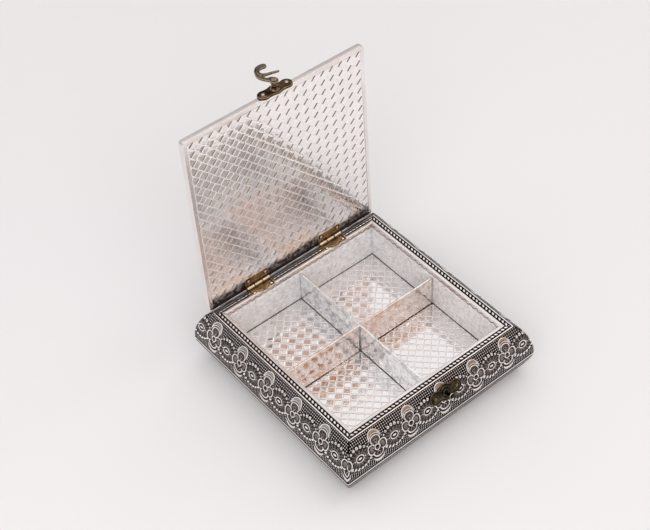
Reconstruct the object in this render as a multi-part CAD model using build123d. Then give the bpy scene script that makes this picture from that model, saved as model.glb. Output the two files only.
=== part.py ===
from build123d import *
import os
import math

# Dry fruit box: a square wooden box with pillow-shaped sides under an embossed
# white-metal sheet, four foil-lined compartments, a hinged foil-lined lid and a
# hook-and-stud latch. Millimetres, +Z up, front (latch side) towards -Y.
# Origin: centre of the base, on the face that rests on the table.
# Every lid piece is drawn with the lid closed and then turned about the hinge
# pins to the open position, which is the rest position of the model.

# ---- driving dimensions ----------------------------------------------------
BOX_H = 50.0          # table to rim
RIM = 82.5            # half side of the rim's outer ridge (165 mm box)
# pillow side profile: half width of the box at each height, rim to base
PROFILE = [(82.5, 50.0), (87.0, 46.3), (90.3, 40.9), (92.8, 35.1), (94.3, 29.4),
           (95.1, 22.8), (94.6, 17.0), (92.8, 12.0), (89.9, 6.2), (87.0, 1.0)]
T_SHEET = 0.6         # embossed sheet on the box, relief included
W_IN = 75.8           # half width of the wooden frame's inside
T_LINING = 1.2        # foil-faced board on the walls
LINING_TOP = 45.0
T_FELT = 1.0
T_BASE = 12.0
T_FLOOR = 2.0
FLOOR_TOP = T_FELT + T_BASE + T_FLOOR      # 15 mm
FLOOR_HALF = 74.1     # 0.5 mm shadow gap all round
T_DIV = 2.0
DIV_TOP = 44.8
DIV_X = -1.5          # centre plane of the front-to-back divider
DIV_Y = 0.5           # centre plane of the left-to-right divider
DIV_HALF = 74.4
LAP = 0.1             # clearance each side of the half-lap slots

LID_HALF = 83.7       # half width of the lid
LID_LEN = 170.8       # hinge edge to latch edge
LID_T = 6.0
T_LIDSHEET = 0.5
HEM = 3.6             # width of the sheet folded onto the lid's inner face

PIN_Y = 83.0          # hinge axis
PIN_Z = 51.5
PIN_R = 0.70
PIN_CLEAR = 0.05      # radial running clearance in the knuckles
KNUCKLE_R = 1.4
LEAF_T = 0.7
LEAF_OFF = 1.5        # outer face of each leaf, measured from the pin axis
LEAF_W = 22.5
HINGE_X = 37.2        # hinge centres at +-HINGE_X
KNUCKLE_MID = 7.5     # length of the box leaf's knuckle
KNUCKLE_GAP = 0.25
BOX_LEAF = 8.3        # leaf length from the pin axis
LID_LEAF = 10.0
OPEN_DEG = 91.8       # lid angle from closed to the open stop
LID_BEHIND = 1.5      # closed lid's rear edge stands this far behind the pins

PIVOT_X = 1.5         # hook rivet, on the middle of the lid's front edge
HOOK_IN = 7.8         # hook's inner face, measured out from the lid's front edge
HOOK_T = 1.8
RIVET_R = 1.2
EYE_R = RIVET_R + 0.06

STUD_X = 4.6
STUD_Z = 41.4         # where the stud's axis meets the shoulder
STUD_TILT = 15.0      # stud axis above the horizontal
STUD_NECK = 1.3
STUD_HEAD = 2.3
T_PLATE = 1.3

os.makedirs("parts", exist_ok=True)
PARTS = {}


def at_height(z):
    """Half width of the pillow profile at height z (straight interpolation)."""
    for (m0, z0), (m1, z1) in zip(PROFILE, PROFILE[1:]):
        if z1 <= z <= z0:
            return m0 + (m1 - m0) * (z - z0) / (z1 - z0)
    return PROFILE[-1][0]


def offset_profile(d):
    """The profile's points moved along its normals by d (outwards positive)."""
    out = []
    n = len(PROFILE)
    for i, (m, z) in enumerate(PROFILE):
        a = PROFILE[max(i - 1, 0)]
        b = PROFILE[min(i + 1, n - 1)]
        tm, tz = b[0] - a[0], b[1] - a[1]
        l = math.hypot(tm, tz)
        nm, nz = -tz / l, tm / l
        out.append((m + nm * d, z + nz * d))
    return out


def front_section(points_closed):
    """Solid along X from a closed wire given as edges in (m, z), m towards -Y."""
    with BuildPart() as bp:
        with BuildSketch(Plane.YZ.offset(-100)) as sk:
            with BuildLine():
                points_closed()
            make_face()
        extrude(amount=200)
    return bp.part


def mitre(shape):
    """Cut a front-side piece to the 45 degree mitres at the corners."""
    tri = extrude(make_face(Polyline((0, 0), (-120, -120), (120, -120), (0, 0)).edges()), amount=80)
    tri = Pos(0, 0, -10) * tri
    return shape & tri


def box(x0, x1, y0, y1, z0, z1):
    return Pos((x0 + x1) / 2, (y0 + y1) / 2, (z0 + z1) / 2) * Box(x1 - x0, y1 - y0, z1 - z0)


def cyl(r, a, b):
    """Cylinder of radius r from point a to point b."""
    a, b = Vector(*a), Vector(*b)
    d = b - a
    pl = Plane(origin=a, z_dir=d.normalized())
    return extrude(pl * Circle(r), amount=d.length)


SIDES = {"front": 0, "right": 90, "rear": 180, "left": 270}

# ---- walls and their embossed sheets ---------------------------------------
inner_pts = offset_profile(-T_SHEET)


def wall_lines():
    pts = [(-m, z) for m, z in inner_pts[1:]]
    pts[-1] = (pts[-1][0], T_FELT)
    top = (-(RIM - 0.45), BOX_H - T_SHEET)
    Spline(top, *pts)
    Polyline(pts[-1], (-W_IN, T_FELT), (-W_IN, BOX_H - T_SHEET), top)


def sheet_lines():
    pin = [(-m, z) for m, z in inner_pts[1:]]
    pin[-1] = (pin[-1][0], T_FELT)
    top_in = (-(RIM - 0.45), BOX_H - T_SHEET)
    pout = [(-m, z) for m, z in PROFILE]
    Spline(top_in, *pin)
    Line(pin[-1], pout[-1])
    Spline(*pout)
    Polyline(pout[0], (-(W_IN - T_SHEET), BOX_H), (-(W_IN - T_SHEET), LINING_TOP),
             (-W_IN, LINING_TOP), (-W_IN, BOX_H - T_SHEET), top_in)


wall0 = mitre(front_section(wall_lines))
sheet0 = mitre(front_section(sheet_lines))
walls = {s: Rot(0, 0, a) * wall0 for s, a in SIDES.items()}
sheets = {s: Rot(0, 0, a) * sheet0 for s, a in SIDES.items()}

# ---- base, floor and linings ------------------------------------------------
base_board = box(-W_IN, W_IN, -W_IN, W_IN, T_FELT, T_FELT + T_BASE)
base_felt = extrude(Rectangle(171, 171), amount=T_FELT)
base_felt = fillet(base_felt.edges().filter_by(Axis.Z), 2.0)
z_lin = T_FELT + T_BASE
floor_lining = box(-FLOOR_HALF, FLOOR_HALF, -FLOOR_HALF, FLOOR_HALF, z_lin, FLOOR_TOP)
L_IN = W_IN - T_LINING
linings = {
    "front": box(-L_IN, L_IN, -W_IN, -L_IN, z_lin, LINING_TOP),
    "rear": box(-L_IN, L_IN, L_IN, W_IN, z_lin, LINING_TOP),
    "left": box(-W_IN, -L_IN, -W_IN, W_IN, z_lin, LINING_TOP),
    "right": box(L_IN, W_IN, -W_IN, W_IN, z_lin, LINING_TOP),
}

# ---- crossed dividers, half-lapped ------------------------------------------
h = T_DIV / 2
mid = (FLOOR_TOP + DIV_TOP) / 2
divider_long = box(DIV_X - h, DIV_X + h, -DIV_HALF, DIV_HALF, FLOOR_TOP, DIV_TOP)
divider_long -= box(DIV_X - 3, DIV_X + 3, DIV_Y - h - LAP, DIV_Y + h + LAP, FLOOR_TOP - 1, mid + LAP)
divider_cross = box(-DIV_HALF, DIV_HALF, DIV_Y - h, DIV_Y + h, FLOOR_TOP, DIV_TOP)
divider_cross -= box(DIV_X - h - LAP, DIV_X + h + LAP, DIV_Y - 3, DIV_Y + 3, mid - LAP, DIV_TOP + 1)

# ---- hinges -----------------------------------------------------------------
# half-lengths along the pin: the box leaf has the middle knuckle, the lid leaf
# the two outer ones


def tube(x0, x1):
    return cyl(KNUCKLE_R, (x0, PIN_Y, PIN_Z), (x1, PIN_Y, PIN_Z))


def bore(x0, x1):
    return cyl(PIN_R + PIN_CLEAR, (x0, PIN_Y, PIN_Z), (x1, PIN_Y, PIN_Z))


def scallop_face(w, y0, y1, lobe_r, lobe_half):
    """Leaf outline: shoulders at the ends and a rounded middle lobe."""
    f = Pos(0, (y0 + y1) / 2) * Rectangle(w, abs(y1 - y0))
    return f


def make_hinge(cx):
    hw = LEAF_W / 2
    km = KNUCKLE_MID / 2
    z_lo = PIN_Z - LEAF_OFF
    # box leaf: flat on the rim, its front edge scalloped
    y_front = PIN_Y - BOX_LEAF
    leaf = box(cx - hw, cx + hw, y_front + 1.5, PIN_Y - 1.75, z_lo, z_lo + LEAF_T)
    lobe = Pos(cx, y_front + 3.4, z_lo + LEAF_T / 2) * (Cylinder(7.0, LEAF_T) & Pos(0, -5.0, 0) * Box(13.0, 8.0, LEAF_T))
    lobe = Pos(cx, 0, z_lo) * extrude(Pos(0, y_front + 7.0) * Circle(7.0), amount=LEAF_T)
    lobe = lobe & box(cx - 7, cx + 7, y_front - 0.1, PIN_Y - 2.2, z_lo, z_lo + LEAF_T)
    leaf = leaf + lobe
    neck = box(cx - km, cx + km, PIN_Y - 2.0, PIN_Y, z_lo, z_lo + LEAF_T)
    leaf = leaf + neck + tube(cx - km, cx + km)
    leaf -= bore(cx - km - 1, cx + km + 1)
    # lid leaf, drawn with the lid closed: flat under the lid
    z_hi = PIN_Z + LEAF_OFF
    lid = box(cx - hw, cx + hw, PIN_Y - LID_LEAF, PIN_Y - 1.75, z_hi - LEAF_T, z_hi)
    for a, b in ((cx - hw, cx - km - KNUCKLE_GAP), (cx + km + KNUCKLE_GAP, cx + hw)):
        lid = lid + box(a, b, PIN_Y - 2.0, PIN_Y, z_hi - LEAF_T, z_hi) + tube(a, b)
    lid -= bore(cx - hw - 1, cx + hw + 1)
    # keep the middle clear of the box leaf's knuckle
    lid -= cyl(KNUCKLE_R + KNUCKLE_GAP, (cx - km - KNUCKLE_GAP, PIN_Y, PIN_Z), (cx + km + KNUCKLE_GAP, PIN_Y, PIN_Z))
    for a, b in ((cx - hw - 0.2, cx - km - 0.02), (cx + km + 0.02, cx + hw + 0.2)):
        leaf -= cyl(KNUCKLE_R + KNUCKLE_GAP, (a, PIN_Y, PIN_Z), (b, PIN_Y, PIN_Z))
    pin = cyl(PIN_R, (cx - hw - 0.15, PIN_Y, PIN_Z), (cx + hw + 0.15, PIN_Y, PIN_Z))
    head = cyl(1.15, (cx + hw + 0.15, PIN_Y, PIN_Z), (cx + hw + 0.95, PIN_Y, PIN_Z))
    head = fillet(head.edges().filter_by(GeomType.CIRCLE).sort_by(Axis.X)[-1], 0.4)
    tail = cyl(1.15, (cx - hw - 0.95, PIN_Y, PIN_Z), (cx - hw - 0.15, PIN_Y, PIN_Z))
    tail = fillet(tail.edges().filter_by(GeomType.CIRCLE).sort_by(Axis.X)[0], 0.4)
    return leaf, lid, pin + head + tail


def nail(p, d, head_r, head_h, shank_r, length):
    """Domed nail: p on the sheet's face, d pointing out of it."""
    d = Vector(*d).normalized()
    p = Vector(*p)
    pl = Plane(origin=p, z_dir=d)
    prof = make_face([
        *Polyline((0, -length), (shank_r, -length + 0.8), (shank_r, 0), (head_r, 0)).edges(),
        Spline((head_r, 0), (head_r * 0.72, head_h * 0.72), (0, head_h), tangents=((0, 1), (-1, 0))),
        Line((0, head_h), (0, -length)),
    ])
    body = revolve(Plane.XZ * prof, Axis.Z)
    return pl.location * body


hinges = {"left": make_hinge(-HINGE_X), "right": make_hinge(HINGE_X)}
NAIL_Y = PIN_Y - 6.1
z_leaf = PIN_Z - LEAF_OFF + LEAF_T
box_nails = []
lid_nails = []
for cx in (-HINGE_X, HINGE_X):
    for dx in (-8.4, 8.4):
        box_nails.append(nail((cx + dx, NAIL_Y, z_leaf), (0, 0, 1), 1.35, 0.7, 0.5, 8.0))
        lid_nails.append(nail((cx + dx, PIN_Y - 6.6, PIN_Z + LEAF_OFF - LEAF_T), (0, 0, -1), 1.35, 0.5, 0.5, 4.6))

# ---- lid, drawn closed ------------------------------------------------------
z0 = PIN_Z + LEAF_OFF                    # lid's inner face when closed
yb = PIN_Y + LID_BEHIND                  # rear edge
yf = yb - LID_LEN                        # front edge
zt = z0 + LID_T
outer = box(-LID_HALF, LID_HALF, yf, yb, z0, zt)
outer = fillet(outer.edges().filter_by(Axis.Z), 3.0)
outer = fillet(outer.faces().sort_by(Axis.Z)[-1].edges(), 1.8)
s = T_LIDSHEET
core = box(-LID_HALF + s, LID_HALF - s, yf + s, yb - s, z0 + s, zt - s)
core = fillet(core.edges().filter_by(Axis.Z), 2.5)
core = fillet(core.faces().sort_by(Axis.Z)[-1].edges(), 1.3)
window = box(-LID_HALF + HEM, LID_HALF - HEM, yf + HEM, yb - HEM, z0 - 1, z0 + s)
lid_cladding = outer - core - window
lid_board = core
g = 0.05
lid_lining = box(-LID_HALF + HEM + g, LID_HALF - HEM - g, yf + HEM + g, yb - HEM - g, z0, z0 + s)

# ---- hook plate, rivet and hook on the lid's front edge ---------------------
zp = z0 + LID_T / 2                      # middle of the lid's edge
edge = Plane(origin=(PIVOT_X, yf, zp), x_dir=(1, 0, 0), z_dir=(0, -1, 0))   # local y is +Z

plate_out = (Pos(-10.4, 0) * Circle(4.9) + Pos(10.4, 0) * Circle(4.9)
             + Rectangle(20.8, 7.0) + Circle(5.0))
hook_plate = extrude(plate_out, amount=1.6)
hook_plate = chamfer(hook_plate.faces().sort_by(Axis.Z)[-1].edges(), 0.8)
boss = revolve(Plane.XZ * make_face(Polyline((0, 1.0), (3.6, 1.0), (3.3, 2.2), (2.4, 4.2), (2.2, HOOK_IN - 0.15),
                                             (0, HOOK_IN - 0.15), (0, 1.0)).edges()), Axis.Z)
hook_plate = hook_plate + boss
rivet_shank = Pos(0, 0, -5.0) * extrude(Circle(RIVET_R), amount=5.0 + HOOK_IN + HOOK_T + 0.2)
rivet_head = Pos(0, 0, HOOK_IN + HOOK_T + 0.15) * extrude(Circle(2.3), amount=1.1)
rivet_head = fillet(rivet_head.edges().sort_by(Axis.Z)[-1], 0.7)
hook_rivet = rivet_shank + rivet_head
hook_plate -= extrude(Circle(RIVET_R), amount=HOOK_IN)
plate_nails = [Pos(dx, 0, 0) * nail((0, 0, 1.6), (0, 0, 1), 1.5, 0.8, 0.5, 8.6) for dx in (-10.8, 10.8)]
for n in plate_nails:
    hook_plate -= n

# hook outline, pivot at (0, 0), as it lies at rest: x to the right, y away
# from the lid's inner face
HOOK = [(-2.9, 1.6), (-5.0, 4.3), (-6.6, 7.9), (-6.9, 12.0), (-5.9, 15.9), (-3.6, 19.2),
        (-0.5, 21.2), (2.8, 21.7), (5.4, 20.8), (6.5, 18.8), (6.0, 17.1), (4.5, 16.7),
        (2.6, 17.2), (0.2, 16.9), (-1.3, 15.3), (-1.6, 13.4), (-0.6, 11.6),
        (1.5, 10.2), (5.0, 9.0), (9.2, 7.3), (9.75, 6.6), (9.2, 6.1), (5.0, 7.2), (1.5, 8.1),
        (-1.2, 8.9), (-2.9, 8.3), (-3.0, 6.7), (-1.8, 5.3), (0.2, 4.7), (1.9, 3.3)]
outline = make_face(Spline(*HOOK, periodic=True).edges())
hook2d = outline + Circle(3.4)
hook = Pos(0, 0, HOOK_IN) * extrude(hook2d, amount=HOOK_T)
hook -= extrude(Circle(EYE_R), amount=30)


def on_edge(shape):
    return edge.location * shape


hook_plate, hook_rivet, hook = on_edge(hook_plate), on_edge(hook_rivet), on_edge(hook)
plate_nails = [on_edge(n) for n in plate_nails]

for n in lid_nails + plate_nails + [hook_rivet]:
    lid_board -= n
    lid_cladding -= n
for n in lid_nails:
    lid_lining -= n
lid_leaves = {k: v[1] for k, v in hinges.items()}
for k in lid_leaves:
    for n in lid_nails:
        lid_leaves[k] = lid_leaves[k] - n

# ---- stud and its plate on the front shoulder -------------------------------
ys = -at_height(STUD_Z)
tilt = math.radians(STUD_TILT)
ax = (0, -math.cos(tilt), math.sin(tilt))


def along(d):
    return (STUD_X, ys + ax[1] * d, STUD_Z + ax[2] * d)


# normal of the shoulder there, for the plate's outline
nrm = None
for (m0, za), (m1, zb) in zip(PROFILE, PROFILE[1:]):
    if zb <= STUD_Z <= za:
        l = math.hypot(m1 - m0, zb - za)
        nrm = (0, -(za - zb) / l, (m1 - m0) / l)


def band_lines():
    pin = [(-m, z) for m, z in PROFILE]
    pout = [(-m, z) for m, z in offset_profile(T_PLATE)]
    Spline(*pin)
    Line(pin[-1], pout[-1])
    Spline(*pout)
    Line(pout[0], pin[0])


band = front_section(band_lines)
ppl = Plane(origin=(STUD_X, ys, STUD_Z), x_dir=(1, 0, 0), z_dir=nrm)
p2 = Circle(6.6) + Pos(-10.0, 0) * Circle(5.2) + Pos(10.0, 0) * Circle(5.2) + Rectangle(20.0, 8.0)
prism = Pos(0, 0, -4) * extrude(p2, amount=9)
stud_plate = band & (ppl.location * prism)

stud_shank = cyl(1.0, along(-6.0), along(0.2))
stud_neck = cyl(STUD_NECK, along(0.0), along(7.6))
stud_head = cyl(STUD_HEAD, along(7.2), along(8.8))
stud_head = fillet(stud_head.edges().filter_by(GeomType.CIRCLE).sort_by(Axis.Y)[0], 0.9)
stud = stud_shank + stud_neck + stud_head
stud_plate -= stud
stud_nails = []
for dx in (-10.6, 10.6):
    p = Vector(STUD_X + dx, ys, STUD_Z) + Vector(*nrm) * (T_PLATE - 0.12)
    n = nail((p.X, p.Y, p.Z), nrm, 1.5, 0.8, 0.5, 7.0)
    stud_plate -= n
    stud_nails.append(n)
for n in stud_nails + [stud]:
    walls["front"] -= n
    sheets["front"] -= n
for n in box_nails:
    walls["rear"] -= n
    sheets["rear"] -= n
box_leaves = {k: v[0] for k, v in hinges.items()}
for k in box_leaves:
    for n in box_nails:
        box_leaves[k] = box_leaves[k] - n


# ---- open the lid -----------------------------------------------------------
def opened(shape):
    return Pos(0, PIN_Y, PIN_Z) * Rot(-OPEN_DEG, 0, 0) * Pos(0, -PIN_Y, -PIN_Z) * shape


PARTS["base_felt"] = base_felt
PARTS["base_board"] = base_board
for sd in SIDES:
    PARTS["wall_" + sd] = walls[sd]
    PARTS["sheet_" + sd] = sheets[sd]
    PARTS["lining_" + sd] = linings[sd]
PARTS["lining_floor"] = floor_lining
PARTS["divider_long"] = divider_long
PARTS["divider_cross"] = divider_cross
for sd in ("left", "right"):
    PARTS["hinge_leaf_box_" + sd] = box_leaves[sd]
    PARTS["hinge_leaf_lid_" + sd] = opened(lid_leaves[sd])
    PARTS["hinge_pin_" + sd] = hinges[sd][2]
PARTS["hinge_nails_box"] = Compound(box_nails)
PARTS["hinge_nails_lid"] = opened(Compound(lid_nails))
PARTS["stud_plate"] = stud_plate
PARTS["stud"] = stud
PARTS["stud_plate_nails"] = Compound(stud_nails)
PARTS["lid_board"] = opened(lid_board)
PARTS["lid_lining"] = opened(lid_lining)
PARTS["lid_sheet"] = opened(lid_cladding)
PARTS["hook_plate"] = opened(hook_plate)
PARTS["hook_plate_nails"] = opened(Compound(plate_nails))
PARTS["hook_rivet"] = opened(hook_rivet)
PARTS["hook"] = opened(hook)

# positions used by the joints and the mount, in millimetres
ang = math.radians(-OPEN_DEG)


def open_point(x, y, z):
    dy, dz = y - PIN_Y, z - PIN_Z
    return (x, PIN_Y + dy * math.cos(ang) - dz * math.sin(ang), PIN_Z + dy * math.sin(ang) + dz * math.cos(ang))


print("lid axis", (0, PIN_Y, PIN_Z))
print("hook pivot, open", open_point(PIVOT_X, yf - HOOK_IN - HOOK_T / 2, zp))
print("hook axis, open", (0, math.cos(ang), math.sin(ang)))
print("hook pivot, closed", (PIVOT_X, yf - HOOK_IN, zp), "stud at hook plane",
      along((yf - HOOK_IN - HOOK_T / 2 - ys) / ax[1]))

for name, shape in PARTS.items():
    export_step(shape, "parts/%s.step" % name)
    print(name, round(shape.volume, 1))
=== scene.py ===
import bpy
import bmesh
import math
import numpy as np
from mathutils import Matrix, Vector


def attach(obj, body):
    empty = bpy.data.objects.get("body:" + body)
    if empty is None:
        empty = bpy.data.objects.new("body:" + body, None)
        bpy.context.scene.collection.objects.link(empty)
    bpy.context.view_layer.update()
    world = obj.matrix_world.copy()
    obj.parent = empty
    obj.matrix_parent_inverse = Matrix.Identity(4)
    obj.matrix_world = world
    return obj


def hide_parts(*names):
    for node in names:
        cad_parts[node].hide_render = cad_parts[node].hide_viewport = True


# Dry fruit box. All shapes below are worked out in millimetres in the frame of
# the CAD model and turned into metres when a mesh is made.

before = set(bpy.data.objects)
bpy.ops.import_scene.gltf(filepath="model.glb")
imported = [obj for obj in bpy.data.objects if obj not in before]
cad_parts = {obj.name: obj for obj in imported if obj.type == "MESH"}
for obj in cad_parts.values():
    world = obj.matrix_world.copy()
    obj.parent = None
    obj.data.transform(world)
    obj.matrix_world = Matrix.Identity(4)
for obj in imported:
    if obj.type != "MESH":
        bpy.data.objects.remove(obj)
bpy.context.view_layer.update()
scene = bpy.context.scene
MM = 0.001
rng = np.random.default_rng(7)

# ---- dimensions repeated from the CAD ---------------------------------------
PROFILE = [(82.5, 50.0), (87.0, 46.3), (90.3, 40.9), (92.8, 35.1), (94.3, 29.4),
           (95.1, 22.8), (94.6, 17.0), (92.8, 12.0), (89.9, 6.2), (87.0, 1.0)]
PIN_Y, PIN_Z = 83.0, 51.5
OPEN = math.radians(-91.8)
LID_HALF, LID_Y0, LID_Y1, LID_Z0, LID_Z1 = 83.7, -86.3, 84.5, 53.0, 59.0
HINGE_X = 37.2
PIVOT = (1.5, -86.3, 56.0)
PERIOD = 32.75            # repeat of the embossed border
FLOWER_V = 16.7           # its middle line, measured down the side from the rim
NET = PERIOD / 18         # pitch of the fine beads of the ground


# ============================================================================
# mesh helpers
# ============================================================================
def opened(v):
    """Points of the closed lid, turned to the open position."""
    v = np.array(v, float)
    c, s = math.cos(OPEN), math.sin(OPEN)
    dy, dz = v[..., 1] - PIN_Y, v[..., 2] - PIN_Z
    out = v.copy()
    out[..., 1] = PIN_Y + dy * c - dz * s
    out[..., 2] = PIN_Z + dy * s + dz * c
    return out


def on_edge(v):
    """Local points on the lid's front edge (x right, y towards the outer face, z out), opened."""
    v = np.array(v, float)
    w = np.stack([v[..., 0] + PIVOT[0], PIVOT[1] - v[..., 2], PIVOT[2] + v[..., 1]], -1)
    return opened(w)


def mesh_object(name, verts, faces, attrs=None, smooth=True):
    """Object from vertices in mm and a list of face arrays (quads or triangles)."""
    verts = np.asarray(verts, float)
    if isinstance(faces, np.ndarray):
        faces = [faces]
    me = bpy.data.meshes.new(name)
    me.vertices.add(len(verts))
    me.vertices.foreach_set("co", (verts * MM).astype(np.float32).ravel())
    idx = np.concatenate([f.ravel() for f in faces]).astype(np.int32)
    sizes = np.concatenate([np.full(len(f), f.shape[1]) for f in faces])
    me.loops.add(len(idx))
    me.loops.foreach_set("vertex_index", idx)
    me.polygons.add(len(sizes))
    starts = np.concatenate([[0], np.cumsum(sizes)[:-1]]).astype(np.int32)
    me.polygons.foreach_set("loop_start", starts)
    me.update(calc_edges=True)
    me.polygons.foreach_set("use_smooth", np.full(len(sizes), smooth))
    for k, a in (attrs or {}).items():
        at = me.attributes.new(k, "FLOAT", "POINT")
        at.data.foreach_set("value", np.asarray(a, np.float32).ravel())
    me.validate()
    ob = bpy.data.objects.new(name, me)
    scene.collection.objects.link(ob)
    return ob


def grid_faces(n, m, wrap_m=False, flip=False, off=0):
    i = np.arange(n - 1)[:, None]
    j = np.arange(m if wrap_m else m - 1)[None, :]
    j2 = (j + 1) % m
    a = i * m + j
    b = i * m + j2
    c = (i + 1) * m + j2
    d = (i + 1) * m + j
    f = np.stack([a, b, c, d], -1).reshape(-1, 4) + off
    return f[:, ::-1] if flip else f


def join_arrays(parts):
    """[(verts, [faces], attrs)] to one set."""
    vs, fs, at, n = [], [], {}, 0
    keys = set(k for p in parts for k in (p[2] or {}))
    for v, f, a in parts:
        v = np.asarray(v, float).reshape(-1, 3)
        vs.append(v)
        for g in (f if isinstance(f, list) else [f]):
            fs.append(g + n)
        for k in keys:
            at.setdefault(k, []).append(np.asarray((a or {}).get(k, np.zeros(len(v))), float).ravel())
        n += len(v)
    return np.concatenate(vs), fs, {k: np.concatenate(x) for k, x in at.items()}


def lathe(profile, n=40, close_ends=True):
    """Surface of revolution about z from (r, z) points."""
    p = np.array(profile, float)
    a = np.linspace(0, 2 * math.pi, n, endpoint=False)
    v = np.stack([p[:, 0:1] * np.cos(a), p[:, 0:1] * np.sin(a), np.repeat(p[:, 1:2], n, 1)], -1).reshape(-1, 3)
    return v, [grid_faces(len(p), n, wrap_m=True)], {}


def place(part, origin, zdir, xdir=None):
    """Turn a part drawn about +z so that z points along zdir, and move it to origin."""
    v, f, a = part
    z = np.array(zdir, float)
    z /= np.linalg.norm(z)
    x = np.array(xdir if xdir is not None else ((1, 0, 0) if abs(z[0]) < 0.9 else (0, 1, 0)), float)
    x -= z * (x @ z)
    x /= np.linalg.norm(x)
    y = np.cross(z, x)
    v = np.asarray(v).reshape(-1, 3)
    return v[:, 0:1] * x + v[:, 1:2] * y + v[:, 2:3] * z + np.array(origin, float), f, a


def smoothstep(a, b, x):
    t = np.clip((x - a) / (b - a), 0, 1)
    return t * t * (3 - 2 * t)


def hash01(i, j, k=0.0):
    """Repeatable value in 0..1 for integer cells."""
    s = np.sin(np.asarray(i, float) * 127.1 + np.asarray(j, float) * 311.7 + k * 74.7) * 43758.5453
    return s - np.floor(s)


def value_noise(x, y, k=0.0):
    """Smooth repeatable noise in 0..1."""
    xi, yi = np.floor(x), np.floor(y)
    fx, fy = x - xi, y - yi
    fx = fx * fx * (3 - 2 * fx)
    fy = fy * fy * (3 - 2 * fy)
    a, b = hash01(xi, yi, k), hash01(xi + 1, yi, k)
    c, d = hash01(xi, yi + 1, k), hash01(xi + 1, yi + 1, k)
    return (a * (1 - fx) + b * fx) * (1 - fy) + (c * (1 - fx) + d * fx) * fy


def spline_through(points, n, closed=False):
    """Catmull-Rom points through a list of 2-D points."""
    p = np.array(points, float)
    if closed:
        q = np.concatenate([p[-1:], p, p[:2]])
        m = len(p)
    else:
        q = np.concatenate([2 * p[:1] - p[1:2], p, 2 * p[-1:] - p[-2:-1]])
        m = len(p) - 1
    out = []
    for i in range(m):
        p0, p1, p2, p3 = q[i:i + 4]
        t = np.linspace(0, 1, n, endpoint=False)[:, None]
        out.append(0.5 * ((2 * p1) + (-p0 + p2) * t + (2 * p0 - 5 * p1 + 4 * p2 - p3) * t ** 2
                          + (-p0 + 3 * p1 - 3 * p2 + p3) * t ** 3))
    out = np.concatenate(out)
    return out if closed else np.concatenate([out, p[-1:]])


def dist_polyline(x, y, pts, closed=False):
    """Distance to a polyline, and how far along it (0..1) the nearest point is."""
    pts = np.asarray(pts, float)
    segs = list(zip(pts[:-1], pts[1:])) + ([(pts[-1], pts[0])] if closed else [])
    best = np.full(np.shape(x), 1e9)
    where = np.zeros(np.shape(x))
    for k, (a, b) in enumerate(segs):
        dx, dy = b - a
        l2 = dx * dx + dy * dy + 1e-12
        t = np.clip(((x - a[0]) * dx + (y - a[1]) * dy) / l2, 0, 1)
        d = np.hypot(x - a[0] - t * dx, y - a[1] - t * dy)
        m = d < best
        best = np.where(m, d, best)
        where = np.where(m, (k + t) / len(segs), where)
    return best, where


def inside_polygon(x, y, pts):
    pts = np.asarray(pts, float)
    x0, y0 = pts[:, 0], pts[:, 1]
    x1, y1 = np.roll(x0, -1), np.roll(y0, -1)
    c = np.zeros(np.shape(x), bool)
    for a, b, e, f in zip(x0, y0, x1, y1):
        if b == f:
            continue
        m = ((b > y) != (f > y)) & (x < (e - a) * (y - b) / (f - b) + a)
        c ^= m
    return c


def polygon_sdf(x, y, pts):
    d, _ = dist_polyline(x, y, pts, closed=True)
    return np.where(inside_polygon(x, y, pts), -d, d)


def smin(a, b, k):
    h = np.clip(0.5 + 0.5 * (b - a) / k, 0, 1)
    return b * (1 - h) + a * h - k * h * (1 - h)


def sdf_plate(sdf, x0, x1, y0, y1, step, top, bottom=None):
    """A plate whose outline is sdf(x, y) = 0, as an exact outline with quads inside.
    top(x, y, d) and bottom(x, y, d) give its two faces, with d the distance from the edge."""
    nx, ny = int(math.ceil((x1 - x0) / step)) + 1, int(math.ceil((y1 - y0) / step)) + 1
    X, Y = np.meshgrid(x0 + np.arange(nx) * step, y0 + np.arange(ny) * step)
    cx = (X[:-1, :-1] + X[1:, 1:]) / 2
    cy = (Y[:-1, :-1] + Y[1:, 1:]) / 2
    keep = sdf(cx, cy) < 0
    idx = np.arange(nx * ny).reshape(ny, nx)
    q = np.stack([idx[:-1, :-1], idx[:-1, 1:], idx[1:, 1:], idx[1:, :-1]], -1)[keep]
    used = np.unique(q)
    remap = -np.ones(nx * ny, int)
    remap[used] = np.arange(len(used))
    q = remap[q]
    px, py = X.ravel()[used].copy(), Y.ravel()[used].copy()
    e = np.concatenate([q[:, [0, 1]], q[:, [1, 2]], q[:, [2, 3]], q[:, [3, 0]]])
    key = np.sort(e, 1)
    code = key[:, 0].astype(np.int64) * len(used) + key[:, 1]
    uniq, inv, cnt = np.unique(code, return_inverse=True, return_counts=True)
    border = e[cnt[inv.ravel()] == 1]
    bv = np.unique(border)
    for _ in range(4):
        h = 0.02
        d = sdf(px[bv], py[bv])
        gx = (sdf(px[bv] + h, py[bv]) - sdf(px[bv] - h, py[bv])) / (2 * h)
        gy = (sdf(px[bv], py[bv] + h) - sdf(px[bv], py[bv] - h)) / (2 * h)
        g2 = np.maximum(gx * gx + gy * gy, 0.05)
        px[bv] -= d * gx / g2
        py[bv] -= d * gy / g2
    d = np.maximum(-sdf(px, py), 0)
    d[bv] = 0
    zt = top(px, py, d)
    n = len(px)
    vt = np.stack([px, py, zt], -1)
    if bottom is None:
        return vt, [q], {"edge": d}
    vb = np.stack([px, py, bottom(px, py, d)], -1)
    side = np.stack([border[:, 0], border[:, 0] + n, border[:, 1] + n, border[:, 1]], -1)
    return np.concatenate([vt, vb]), [q, q[:, ::-1] + n, side], {"edge": np.concatenate([d, d])}


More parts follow.
